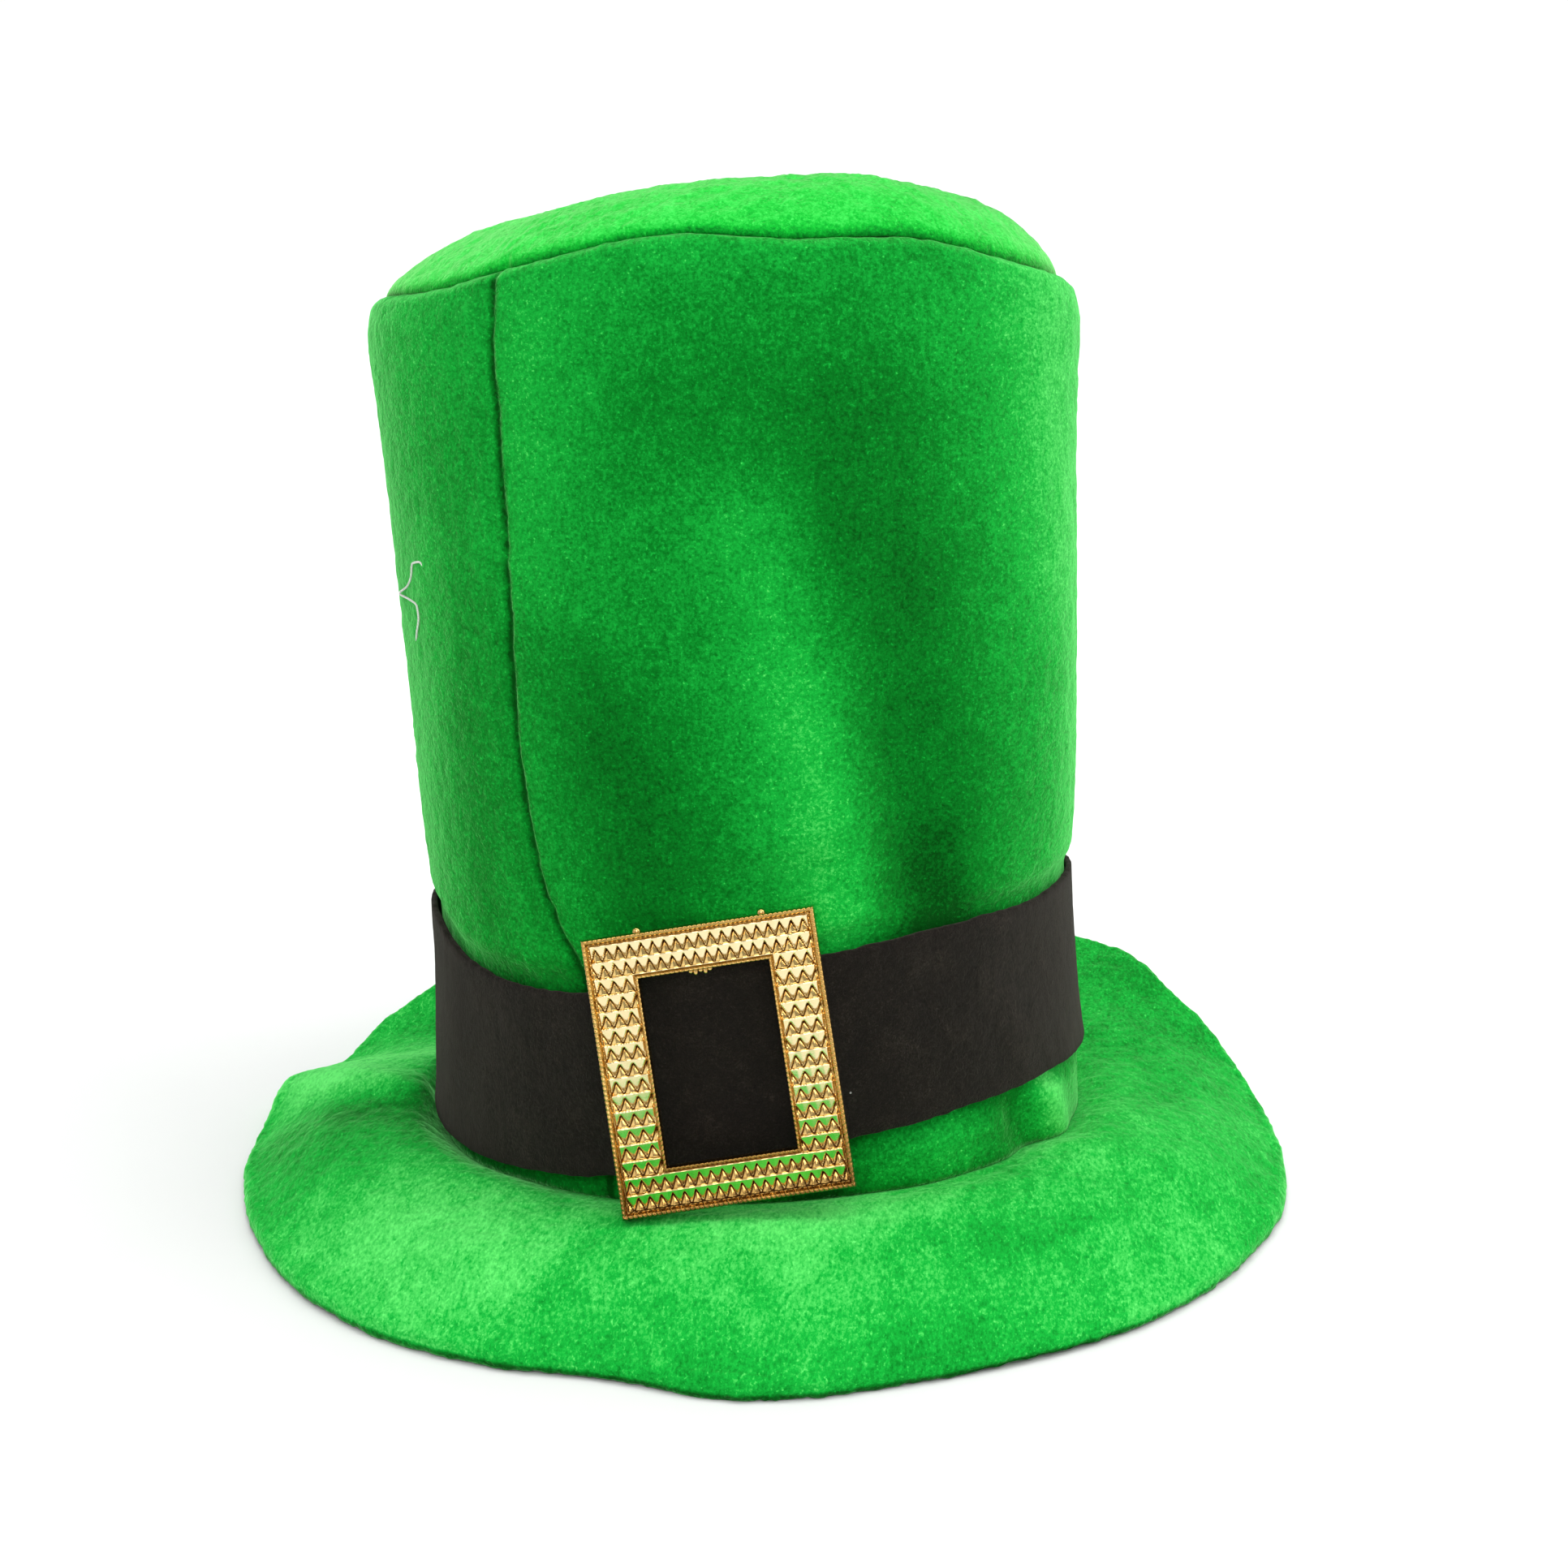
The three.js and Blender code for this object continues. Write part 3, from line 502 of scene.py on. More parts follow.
def felt_material():
    """Pressed black felt: matted fibres, faint wool fuzz and a few specks of pale lint."""
    n = Nodes("black_felt")
    fibres = n.noise(1.5, 4.0, 0.75, 2.0)
    clouds = n.noise(11, 3.0, 0.6, 0.5)
    fuzz = n.noise(0.5, 2.0, 0.8)
    value = n.weigh(0.40, (fibres, 1.1), (clouds, 0.7), (fuzz, 0.9))
    felt = n.ramp(value, (0.0, (0.0035, 0.0030, 0.0025)), (0.5, (0.0105, 0.0082, 0.0062)),
                  (1.0, (0.044, 0.036, 0.028)))
    cells = n.add("ShaderNodeTexVoronoi", {"Vector": n.place, "Scale": 95.0, "Randomness": 1.0})
    near = n.math("LESS_THAN", cells.outputs["Distance"], 0.028)
    chance = n.add("ShaderNodeSeparateColor", {"Color": cells.outputs["Color"]}).outputs[0]
    lint = n.math("MULTIPLY", near, n.math("GREATER_THAN", chance, 0.90))
    colour = n.add("ShaderNodeMix", data_type="RGBA")
    n.tree.links.new(lint, colour.inputs["Factor"])
    n.tree.links.new(felt, colour.inputs["A"])
    colour.inputs["B"].default_value = (0.30, 0.30, 0.28, 1)
    n.set(
        Base_Color=colour.outputs["Result"],
        Roughness=n.math("MULTIPLY_ADD", clouds, 0.12, 0.86),
        Specular_IOR_Level=0.12,
        Sheen_Weight=0.10,
        Sheen_Roughness=0.45,
        Sheen_Tint=(1.0, 0.88, 0.75, 1),
        Normal=n.bump(fuzz, 0.2, 0.7, n.bump(fibres, 0.5, 0.8, n.bump(clouds, 1.2, 0.5))),
    )
    return n.material


def gilt_material():
    """Vacuum-plated gold on moulded plastic: bright faces, hollows made browner by painted shade, faint
    scuffs.
    """
    n = Nodes("gilt_plastic")
    # painted shade from the buckle's mesh: dark scale edges, browner notches, rope twists, grooves and lower
    # part
    gilt_shade = n.add("ShaderNodeAttribute", attribute_name="gilt_shade").outputs["Fac"]
    haze = n.noise(4, 3.0, 0.6)
    grain = n.noise(0.35, 2.0, 0.6)
    tone = n.math("ADD", n.weigh(0.04, (haze, 0.3)), gilt_shade, clamp=True)
    n.set(
        Base_Color=n.ramp(tone, (0.0, (1.0, 0.83, 0.50)), (0.35, (0.88, 0.63, 0.24)),
                          (0.7, (0.50, 0.28, 0.07)), (1.0, (0.07, 0.030, 0.008))),
        Metallic=1.0,
        Roughness=n.math("MULTIPLY_ADD", haze, 0.14, 0.10),
        Normal=n.bump(grain, 0.03, 0.25),
    )
    return n.material


def thread_material():
    n = Nodes("white_thread")
    ply = n.add("ShaderNodeTexWave", {"Vector": n.place, "Scale": 900.0, "Distortion": 1.5},
                wave_type="BANDS", bands_direction="DIAGONAL").outputs["Fac"]
    n.set(
        Base_Color=n.ramp(n.weigh(0.5, (ply, 0.6), (n.noise(0.5), 0.4)), (0.0, (0.50, 0.58, 0.48)),
                          (1.0, (0.90, 0.93, 0.87))),
        Roughness=0.8, Sheen_Weight=0.2, Sheen_Roughness=0.4,
        Normal=n.bump(ply, 0.08, 0.6),
    )
    return n.material


# painted light: the same plush is painted lighter on the tip, and a little lighter on the brim, than on the
# wall, where they face up to the lamps
PLUSH_SIDE = plush_material("plush_side", 0.42, 0.20)
PLUSH_TIP = plush_material("plush_tip", 0.70, 0.28, (0.4, 1.0, 0.35, 1), TIP_LIGHT)
PLUSH_BRIM = plush_material("plush_brim", 0.50, 0.40)
BACKING = backing_material()
FELT = felt_material()
GILT = gilt_material()
THREAD = thread_material()

# Plush pieces

COLUMNS = 440           # even columns round a plush piece
SEAM_ROOM = 4.5         # degrees beside the upright seam that are given to finer columns
SEAM_STEP = 0.22        # degrees between those
SEAM_PULL = 24          # degrees over which the columns lean with the seam
SEAM_HOME = float(seam_angle(0.5))


def crown_columns():
    even = np.arange(COLUMNS) * 360 / COLUMNS - 180
    even = even[np.abs(turn_between(even, SEAM_HOME)) > SEAM_ROOM]
    beside = SEAM_HOME + np.arange(-SEAM_ROOM, SEAM_ROOM + SEAM_STEP / 2, SEAM_STEP)
    return np.sort(np.r_[even, beside])


HOME = crown_columns()


def column_angles(up):
    """Angles of the columns at this height: they lean with the upright seam."""
    return HOME + (seam_angle(up) - SEAM_HOME) * bell(turn_between(HOME, SEAM_HOME), SEAM_PULL)


def nap_lumps(points, size=3.6, height=0.22):
    """How far the tufts of the pile stand out."""
    finer = 0.6 * noise(points + 31.7, size / 2.1)
    finest = 0.45 * noise(points + 77, size / 2.9)
    return height * (noise(points, size) + finer + finest)


def hem(distance):
    """How far the plush is drawn in at this distance from a sewn edge: a quarter round."""
    t = np.clip(distance / HEM_ROLL, 0, 1)
    return HEM_DEPTH * (1 - np.sqrt(np.clip(1 - (1 - t) ** 2, 0, 1)))


SEAM_SHADE = 0.46       # painted shade where the pile turns into a seam
SEAM_BREAKS = 0.6       # tufts across a seam break its dark line by this share
TOP_SEAM_SHARE = 0.6    # the top seam is this dark against the upright one
SEAM_SIDE_SHADE = 4            # painted shade reaches this far on the upright seam's left
TOP_RUFFLE = 0.4        # how far the wall's top edge goes up and down
TUCK, TUCK_SHADE = 5, 0.12      # painted shade above and below the band and at the crown's foot: its width and how dark


def crown_side():
    ups = np.r_[np.linspace(0, 0.9, 150)[:-1], np.linspace(0.9, 0.975, 16)[:-1],
                1 - 0.025 * (1 - np.linspace(0, 1, 16)) ** 1.6]
    outer = np.stack([crown_point(column_angles(up), np.full(HOME.shape, up)) for up in ups])
    n = normals_of(outer)
    away = (1 - ups[:, None]) * CROWN_HEIGHT
    calm = smooth(away, 0, 6) * smooth(ups[:, None] * CROWN_HEIGHT, 0, 4)
    outer = outer + n * (nap_lumps(outer) * calm - hem(away))[..., None]
    outer[..., 2] += TOP_RUFFLE * noise(outer, 3.0) * bell(away - 1.5, 1.5)
    inner_ups = np.r_[1, np.linspace(0.985, 0, 12)]
    inner = np.stack([crown_point(column_angles(up), np.full(HOME.shape, up), PLUSH_WALL)
                      for up in inner_ups])
    grid = np.concatenate([outer, inner, outer[:1]])
    rows = len(outer) + len(inner)
    faces = grid_quads(rows + 1, len(HOME))
    faces = np.where(faces >= rows * len(HOME), faces - rows * len(HOME), faces)
    points = crown_to_hat(grid[:-1].reshape(-1, 3))
    slots = (faces[:, 0] // len(HOME) >= len(outer)).astype(int)
    obj = add_piece("crown_plush", points, faces, [PLUSH_SIDE, BACKING], slots, "crown_side")
    angles = np.stack([column_angles(up) for up in ups])
    nap_light_and_shade = patches(CROWN_NAP_LIGHT_AND_SHADE, angles, np.broadcast_to(ups[:, None], angles.shape))
    # painted shade along the upright and top seams, and a little on the upright seam's left
    beside = seam_distance(angles, ups[:, None])
    broken = 1 + SEAM_BREAKS * noise(outer, 1.8)
    nap_light_and_shade = nap_light_and_shade - SEAM_SHADE * broken * np.maximum(
        bell(beside, SEAM_LINE), TOP_SEAM_SHARE * bell((1 - ups[:, None]) * CROWN_HEIGHT, SEAM_LINE))
    nap_light_and_shade = nap_light_and_shade - SEAM_SHADE / 8 * bell(beside + SEAM_SIDE_SHADE, SEAM_SIDE_SHADE)
    # painted shade along the band's edges and at the crown's foot
    z = height_at(angles, ups[:, None])
    nap_light_and_shade = nap_light_and_shade - TUCK_SHADE * (
        bell(z - band_high(angles), TUCK) + bell(z - band_low(angles), TUCK) + bell(z, TUCK / 2))
    paint(obj, "nap_light_and_shade", np.r_[nap_light_and_shade.ravel(), np.zeros(inner.size // 3)])
    return obj


# The tip's top is fuller at its edge than the lining, most of all on the right.
TIP_RISE, TIP_POWER, TIP_FULLER = 23.5, 3.8, 3.6
TIP_TUFTS = (3.4, 0.42)         # size and height of its tufts, which are coarser than the wall's


def crown_tip():
    shares = np.r_[1 - 0.035 * (1 - np.linspace(1, 0, 12)) ** 1.6, np.linspace(0.955, 0.03, 62)]
    angles = column_angles(1.0)
    edge = crown_point(angles, np.ones(HOME.shape)) + np.array([0, 0, CLEARANCE])
    plain = crown_point(angles, np.ones(HOME.shape), seam=0.0) + np.array([0, 0, CLEARANCE])
    level = CROWN_HEIGHT + CLEARANCE
    rightward = np.sin(np.radians(angles))

    def place(ring, share, rise, power, skew=0.0):
        lift = rise * (1 - share ** power) + skew * share * (1 - share * share) * rightward
        z = lerp(level, ring[:, 2], share ** 2) + lift
        return np.stack([ring[:, 0] * share, ring[:, 1] * share, z], -1)

    power = TIP_POWER + TIP_FULLER * np.maximum(rightward, 0)
    outer = np.stack([place(lerp(plain, edge, smooth(s, 0.95, 1.0)), s, TIP_RISE, power) for s in shares])
    inwards = np.stack([-rightward, np.cos(np.radians(angles)), 0 * angles], -1)
    low_rise = TIP_RISE - PLUSH_WALL
    under_shares = np.r_[1, np.linspace(0.97, 0.04, 12)]
    lining = edge + inwards * PLUSH_WALL
    inner = np.stack([place(lining, s, low_rise, DOME_POWER, DOME_SKEW) for s in under_shares])
    n = normals_of(outer)
    away = (1 - shares[:, None]) * CROWN_WIDTH / 2
    outer = outer + n * (nap_lumps(outer, *TIP_TUFTS) * smooth(away, 0, 6) - hem(away))[..., None]
    rings = np.concatenate([outer[::-1], inner])
    count = len(HOME)
    top = np.array([[0, 0, outer[-1, :, 2].mean() + 0.05], [0, 0, level + low_rise]])
    points = np.concatenate([rings.reshape(-1, 3), top])
    faces = grid_quads(len(rings), count)
    first, last = len(rings) * count, (len(rings) - 1) * count
    k = np.arange(count)
    k2 = (k + 1) % count
    caps = [np.stack([np.full(count, first), k, k2], -1),
            np.stack([np.full(count, first + 1), last + k2, last + k], -1)]
    faces = [*faces[:, ::-1].tolist(), *caps[0].tolist(), *caps[1].tolist()]
    slots = [int(f[0] // count >= len(outer) and f[0] != first) for f in faces]
    obj = add_piece("crown_tip_plush", crown_to_hat(points), faces, [PLUSH_TIP, BACKING],
                    slots, "crown_top")
    # painted light on the tip's left side and painted shade along the top seam
    nap_light_and_shade = patches(TIP_PAINTED_LIGHT, np.broadcast_to(angles, (len(shares), count)),
                  np.broadcast_to(shares[:, None], (len(shares), count)))
    nap_light_and_shade = (nap_light_and_shade - TOP_SEAM_SHARE * SEAM_SHADE * bell((1 - shares[:, None]) * CROWN_WIDTH / 2, SEAM_LINE))[::-1]
    paint(obj, "nap_light_and_shade", np.r_[nap_light_and_shade.ravel(), np.zeros(inner.size // 3 + 2)])
    return obj


BRIM_COLUMNS = 760
BRIM_TUFTS = (4.0, 0.26)        # size and height of the tufts
BRIM_WAVES = (24, 0.55)         # and of the soft unevenness of the padding
EDGE_TUFTS = (1.5, 0.30)        # and of the finer tufts along the rim
# where the rim stands a little off the floor: angle, spread in degrees, height in millimetres
RIM_LIFTS = [(-30, 26, 1.0), (42, 22, 0.8), (120, 25, 1.0), (-140, 20, 0.8)]
HEM_SHADE = 0.55        # painted shade: the lowest millimetres of the rim, which turn under to the floor, are painted dark
HEM_FROM, HEM_TO = 0.9, 2.3     # up to here all of it is dark, and none from there on
FOOT_SHADE = 0.40       # painted shade beside the band on the left, where the brim sinks
FOOT_AT, FOOT_SPREAD = -78, 38
# soft creases across the brim: angle at the crown and at the rim, spread in degrees, height in millimetres
BRIM_CREASES = [
    (-79, -96, 4.5, 2.4), (-70, -84, 7, -1.2), (14, 30, 9, -0.9), (-18, -30, 8, 0.8), (58, 76, 8, 0.9),
    (84, 100, 7, -0.9), (150, 158, 10, 1.2), (-142, -150, 9, -1.0),
]


def brim_piece():
    angle = np.arange(BRIM_COLUMNS) * 360 / BRIM_COLUMNS - 180
    t = np.radians(angle)
    out = np.stack([np.sin(t), -np.cos(t), 0 * t], -1)
    foot = foot_point(angle)
    rim = brim_reach(angle)[:, None] * out
    lifted = sum(height * bell(turn_between(angle, at), spread) for at, spread, height in RIM_LIFTS)

    def over(share, drop=None):
        s = np.full(angle.shape, share)
        z = brim_top(angle, s) - (0 if drop is None else drop)
        flat = lerp(foot, rim, share)
        return np.stack([flat[:, 0], flat[:, 1], np.maximum(z, lifted * smooth(share, 0.6, 0.95))], -1)

    def thickness(share):
        pinched = lerp(BRIM_PINCH, 1, smooth(share, 0, 0.3))
        return BRIM_PADDING * (pinched + BRIM_SWELL * smooth(share, 0.7, 0.93))

    half = BRIM_PADDING / 2
    top_shares = np.r_[0, np.linspace(0.012, 1, 84)]
    top = np.stack([over(s) for s in top_shares])
    edge = []
    for a in np.radians(np.linspace(80, -70, 18)):
        p = top[-1] + out * half * math.cos(a)
        p[:, 2] = np.maximum(top[-1, :, 2] - half + half * math.sin(a), lifted)
        edge.append(p)
    under_shares = np.r_[1, np.linspace(0.985, 0.03, 16)]
    under = np.stack([over(s, thickness(s)) for s in under_shares])
    inner = foot_point(angle, -PLUSH_WALL) - np.array([0, 0, CLEARANCE])
    inner_low = inner.copy()
    inner_low[:, 2] = np.maximum(inner[:, 2] - thickness(0.0), 0)
    grid = np.concatenate([inner[None], top, np.stack(edge), under, inner_low[None]])
    n = -normals_of(grid)
    rows = len(grid)
    calm = np.zeros(rows)
    calm[1:1 + len(top)] = smooth(top_shares, 0.01, 0.07)
    calm[1 + len(top):1 + len(top) + len(edge)] = 1
    edge_rows = np.zeros(rows)
    edge_rows[len(top) - 1:1 + len(top) + len(edge)] = 1
    raised = (nap_lumps(grid, *BRIM_TUFTS) + lumps(grid, *BRIM_WAVES)
              + lumps(grid, *EDGE_TUFTS) * edge_rows[:, None])
    out_share = np.r_[0, top_shares, np.ones(len(edge)), under_shares, 0][:, None]
    edge_end = 1 + len(top) + len(edge)
    upper = 1 - smooth(np.arange(rows), edge_end - 6, edge_end)[:, None]
    for low_angle, high_angle, spread, height in BRIM_CREASES:
        along = lerp(low_angle, high_angle, out_share)
        crease = height * bell(turn_between(angle[None, :], along), spread)
        raised = raised + crease * smooth(out_share, 0, 0.25) * upper
    grid = grid + n * (raised * calm[:, None])[..., None]
    grid[..., 2] = np.maximum(grid[..., 2], 0)
    faces = grid_quads(rows + 1, BRIM_COLUMNS)
    faces = np.where(faces >= rows * BRIM_COLUMNS, faces - rows * BRIM_COLUMNS, faces)[:, ::-1]
    obj = add_piece("brim_plush", grid.reshape(-1, 3), faces, [PLUSH_BRIM], None, "brim")
    shares = np.r_[0, top_shares, np.ones(len(edge)), np.ones(len(under) + 1)]
    nap_light_and_shade = patches(BRIM_NAP_LIGHT_AND_SHADE, np.broadcast_to(angle, (rows, BRIM_COLUMNS)),
                  np.broadcast_to(shares[:, None], (rows, BRIM_COLUMNS)))
    # painted shade on the brim beside the band on the left
    band_foot_shade = bell(shares[:, None], 0.17) * bell(turn_between(angle[None, :], FOOT_AT), FOOT_SPREAD)
    nap_light_and_shade = nap_light_and_shade - FOOT_SHADE * band_foot_shade
    # painted shade on the rim's lowest millimetres, next to the floor
    outside = (np.arange(rows) > len(top))[:, None]
    rim_contact_shade = (1 - smooth(grid[..., 2] - 0.8 * lifted, HEM_FROM, HEM_TO)) * outside
    paint(obj, "nap_light_and_shade", (nap_light_and_shade - HEM_SHADE * rim_contact_shade).ravel())
    return obj


# Zones where the pile is painted lighter or darker: partly where it is brushed one way, and partly painted
# light and shade on its ridges, folds and valleys and beside the band and buckle. low, high: start and end;
# low_angle, high_angle: the zone's middle there; spread in degrees; amount: how much lighter the pile is
# painted, or darker when negative.
CROWN_NAP_LIGHT_AND_SHADE = [
    (-0.1, 1.3, 78, 74, 22, 0.14), (0.55, 1.15, 66, 60, 15, 0.20), (0.10, 0.88, 38, 32, 11, -0.20),
    (0.12, 0.42, 41, 37, 8, -0.24), (0.06, 0.80, 24, 9, 8, 0.26), (0.25, 0.62, -8, -16, 10, -0.24),
    (0.50, 0.95, 17, 19, 8, -0.10), (0.60, 1.00, 25, 25, 10, -0.10), (0.45, 1.05, -52, -46, 14, 0.10),
    (0.62, 1.0, -26, -24, 9, 0.15), (0.72, 0.98, 2, 6, 12, -0.10), (0.85, 1.1, -10, 0, 50, 0.06),
    (-0.1, 0.20, 13, 18, 6, -0.42), (-0.1, 0.22, 36, 38, 6, 0.14), (-0.1, 0.22, 60, 46, 5, -0.12),
    (-0.1, 0.24, 71, 56, 5, 0.42), (0.15, 0.9, -42, -42, 6, -0.12), (0.09, 0.27, -46, -34, 10, -0.26),
]
# painted light: the tip's left side is painted lighter
TIP_PAINTED_LIGHT = [(-0.1, 1.1, -70, -70, 50, 0.08)]
BRIM_NAP_LIGHT_AND_SHADE = [
    (-0.4, 0.45, 8, 14, 26, 0.20), (0.05, 1.25, -36, -36, 22, 0.36), (-0.1, 0.95, 8, 16, 30, 0.22),
    (-0.1, 0.8, 60, 66, 20, 0.14), (0.62, 1.25, 44, 44, 26, 0.22), (0.1, 1.1, -100, -98, 16, 0.36),
    (0.0, 0.9, -71, -80, 6, -0.26), (0.3, 1.2, 30, 30, 10, -0.18), (0.1, 1.3, -80, -97, 4, 0.18),
]


def patches(rows, angle, place):
    total = np.zeros(np.broadcast(angle, place).shape)
    for low, high, low_angle, high_angle, spread, amount in rows:
        along = np.clip((place - low) / (high - low), 0, 1)
        at = lerp(low_angle, high_angle, along)
        total = total + amount * np.sin(np.pi * along) ** 0.7 * bell(turn_between(angle, at), spread)
    return total


def paint(obj, name, values):
    layer = obj.data.attributes.new(name, "FLOAT", "POINT")
    layer.data.foreach_set("value", np.asarray(values, np.float32))


# Felt band

BAND_COLUMNS = 620
FELT_WAVE = 0.5         # faint waves of the felt
FELT_GRAIN, FELT_MATS = (1.9, 0.07), (4.0, 0.05)    # size and height of its small and larger lumps
FELT_RAG, FELT_WANDER = (2.5, 0.22), (14, 0.35)     # and of the unevenness of its cut edges
FELT_TAB = 6.5          # its upper edge stands this much higher behind the buckle's top bar
FELT_ROUND = 0.35       # how far its cut edges bulge


def hat_band():
    angle = np.arange(BAND_COLUMNS) * 360 / BAND_COLUMNS - 180
    out = np.stack([np.sin(np.radians(angle)), -np.cos(np.radians(angle)), 0 * angle], -1)
    step = 5.0
    low, high = band_low(angle), band_high(angle)
    round_points = oval_point(angle, 0 * angle, 0 * angle, 0 * angle)
    ragged = lumps(round_points, *FELT_RAG) + lumps(round_points + 9, *FELT_WANDER)
    low, high = low + ragged, high + np.roll(ragged, 77)
    edge_points = oval_point(angle, high / CROWN_HEIGHT, high, 0 * angle)
    beside = np.abs((edge_points - BUCKLE_BASE) @ BUCKLE_ACROSS) - (BUCKLE_WIDTH / 2 - BUCKLE_SIDE)
    high = high + FELT_TAB * (1 - smooth(beside, 1, 9)) * (np.abs(angle) < 90)

    def face(share, outside):
        z = lerp(low, high, share)
        under = np.max([
            crown_extra(angle + by, np.clip(z + lift, low, high)) for by in (-step, 0, step)
            for lift in (-BAND_THICKNESS, 0, BAND_THICKNESS)], axis=0)
        loose = BAND_THICKNESS * lerp(loose_low(angle), loose_high(angle), share ** 0.8)
        p = oval_point(angle, z / CROWN_HEIGHT, z, under + CLEARANCE + loose + outside)
        wave = FELT_WAVE * noise(p, 17)
        p = p + wave[:, None] * out
        return pressed(p, CLEARANCE + BAND_THICKNESS - outside)

    levels = np.linspace(0, 1, 26)
    outer = np.stack([face(s, BAND_THICKNESS) for s in levels])
    inner = np.stack([face(s, 0.0) for s in levels[::-1]])
    round_over = []
    for a, b in ((outer[-1], inner[0]), (inner[-1], outer[0])):
        bulge = FELT_ROUND * (-1 if round_over else 1)
        round_over.append(np.stack([lerp(a, b, t) + np.array([0, 0, bulge * math.sin(math.pi * t)])
                                    for t in (0.25, 0.5, 0.75)]))
    grid = np.concatenate([outer, round_over[0], inner, round_over[1]])
    n = normals_of(grid)
    grid = grid + n * (lumps(grid, *FELT_GRAIN) + lumps(grid, *FELT_MATS))[..., None]
    rows = len(grid)
    faces = grid_quads(rows + 1, BAND_COLUMNS)
    faces = np.where(faces >= rows * BAND_COLUMNS, faces - rows * BAND_COLUMNS, faces)
    return add_piece("felt_band", crown_to_hat(grid.reshape(-1, 3)), faces, [FELT], None,
                     "hat_band")


# Buckle

SIDE_TEETH, SIDE_ROWS, BAR_TEETH, BAR_ROWS = 3, 12, 19, 2
SCALE_SLOPE = 0.50      # a scale's fall from its root to its tip, as a share of the row's pitch
STEP_EDGE = 0.05        # width of the drop along a scale's edge, as a share of the row
NOTCH = 0.20            # root of the notch between two scales, as a share of the row
TIP = 0.97              # tip of a scale, as a share of the row
SCALE_FIELD = -0.6      # the plate under the scales is sunk
ROPE_PITCH, ROPE_TALL = 1.25, 0.45
LOW_SHADE = 0.22        # painted shade: the plating is painted browner towards the bottom
GROOVE = 0.45           # width of the groove between a border and the scales


def scales(across, down, shift, pitch):
    """Height and painted shade of overlapping scales. across counts scales and down counts rows."""
    tall = SCALE_SLOPE * pitch
    row = np.floor(down)
    u = down - row
    wave = np.abs(2 * np.mod(across + 0.5 * np.mod(row + shift, 2), 1) - 1)
    edge = lerp(NOTCH, TIP, wave)
    scale = tall * (1 - 0.97 * u) + 0.14 * wave
    notch = 0.70 * tall * np.clip((u - NOTCH) / (1 - NOTCH), 0, 1) ** 1.3 * (1 - 0.45 * wave)
    # painted shade: dark just below each scale's edge, where it steps down, and browner on the notches
    below = smooth(u, edge - STEP_EDGE, edge)
    shade = below * (0.36 + 0.80 * (1 - smooth(u, edge + 0.09, edge + 0.25)))
    return lerp(scale, notch, smooth(u, edge - STEP_EDGE / 2, edge + STEP_EDGE / 2)), shade


def border(depth, width, crest, outside, rope):
    """A roped border: a bevel from outside, a round crest and a groove beside the scales."""
    t = np.clip(depth / (width - GROOVE), 0, 1)
    dome = np.sqrt(np.clip(1 - (2 * t - 1) ** 4, 0, 1))
    return lerp(outside, crest + rope, np.where(t < 0.5, dome, 0.35 + 0.65 * dome))


def buckle_face(x, y, depth_out, depth_in, along):
    """Height above the back and painted shade of the buckle's face, by the distances from its two borders."""
    half_w, half_h = BUCKLE_WIDTH / 2, BUCKLE_HEIGHT / 2
    hole_h = half_h - BUCKLE_BAR
    side_from, side_to = half_w - BUCKLE_SIDE + LIP_WIDTH, half_w - RIM_WIDTH
    field_h = hole_h + LIP_WIDTH
    row_pitch = 2 * field_h / SIDE_ROWS
    bar_depth = BUCKLE_BAR - RIM_WIDTH - LIP_WIDTH
    bar_down = np.where(y > 0, half_h - RIM_WIDTH - y, -field_h - y) / (bar_depth / BAR_ROWS)
    in_bar = np.abs(y) > field_h
    bar, bar_shade = scales((x + side_to) / (2 * side_to) * BAR_TEETH, bar_down, 0,
                             bar_depth / BAR_ROWS)
    side, side_shade = scales((np.abs(x) - side_from) / (side_to - side_from) * SIDE_TEETH,
                              (field_h - y) / row_pitch, 0, row_pitch)
    field = BUCKLE_BACK + SCALE_FIELD + np.where(in_bar, bar, side)
    shade = np.where(in_bar, bar_shade, side_shade)
    strand = np.abs(np.sin(np.pi * (along + 0.6 * np.minimum(depth_out, depth_in)) / ROPE_PITCH)) ** 0.7
    crest = BUCKLE_BACK + RIM_HEIGHT - ROPE_TALL / 2
    out_height = border(depth_out, RIM_WIDTH, crest, BUCKLE_BACK * 0.6, ROPE_TALL * strand)
    in_height = border(depth_in, LIP_WIDTH, crest - 0.2, BUCKLE_BACK * 0.8, 0.8 * ROPE_TALL * strand)
    on_out, on_in = depth_out < RIM_WIDTH, depth_in < LIP_WIDTH
    height = np.where(on_out, out_height, np.where(on_in, in_height, field))
    # painted shade in the rope's twists and in the grooves beside the borders
    rope_shade = 0.02 + 0.62 * (1 - strand)
    groove_shade = 0.6 * np.maximum(
        smooth(depth_out, RIM_WIDTH - GROOVE, RIM_WIDTH), smooth(depth_in, LIP_WIDTH - GROOVE, LIP_WIDTH))
    shade = np.where(on_out | on_in, np.maximum(rope_shade, groove_shade), shade)
    shade = shade + LOW_SHADE * smooth(-y, 5, half_h)
    return height, shade


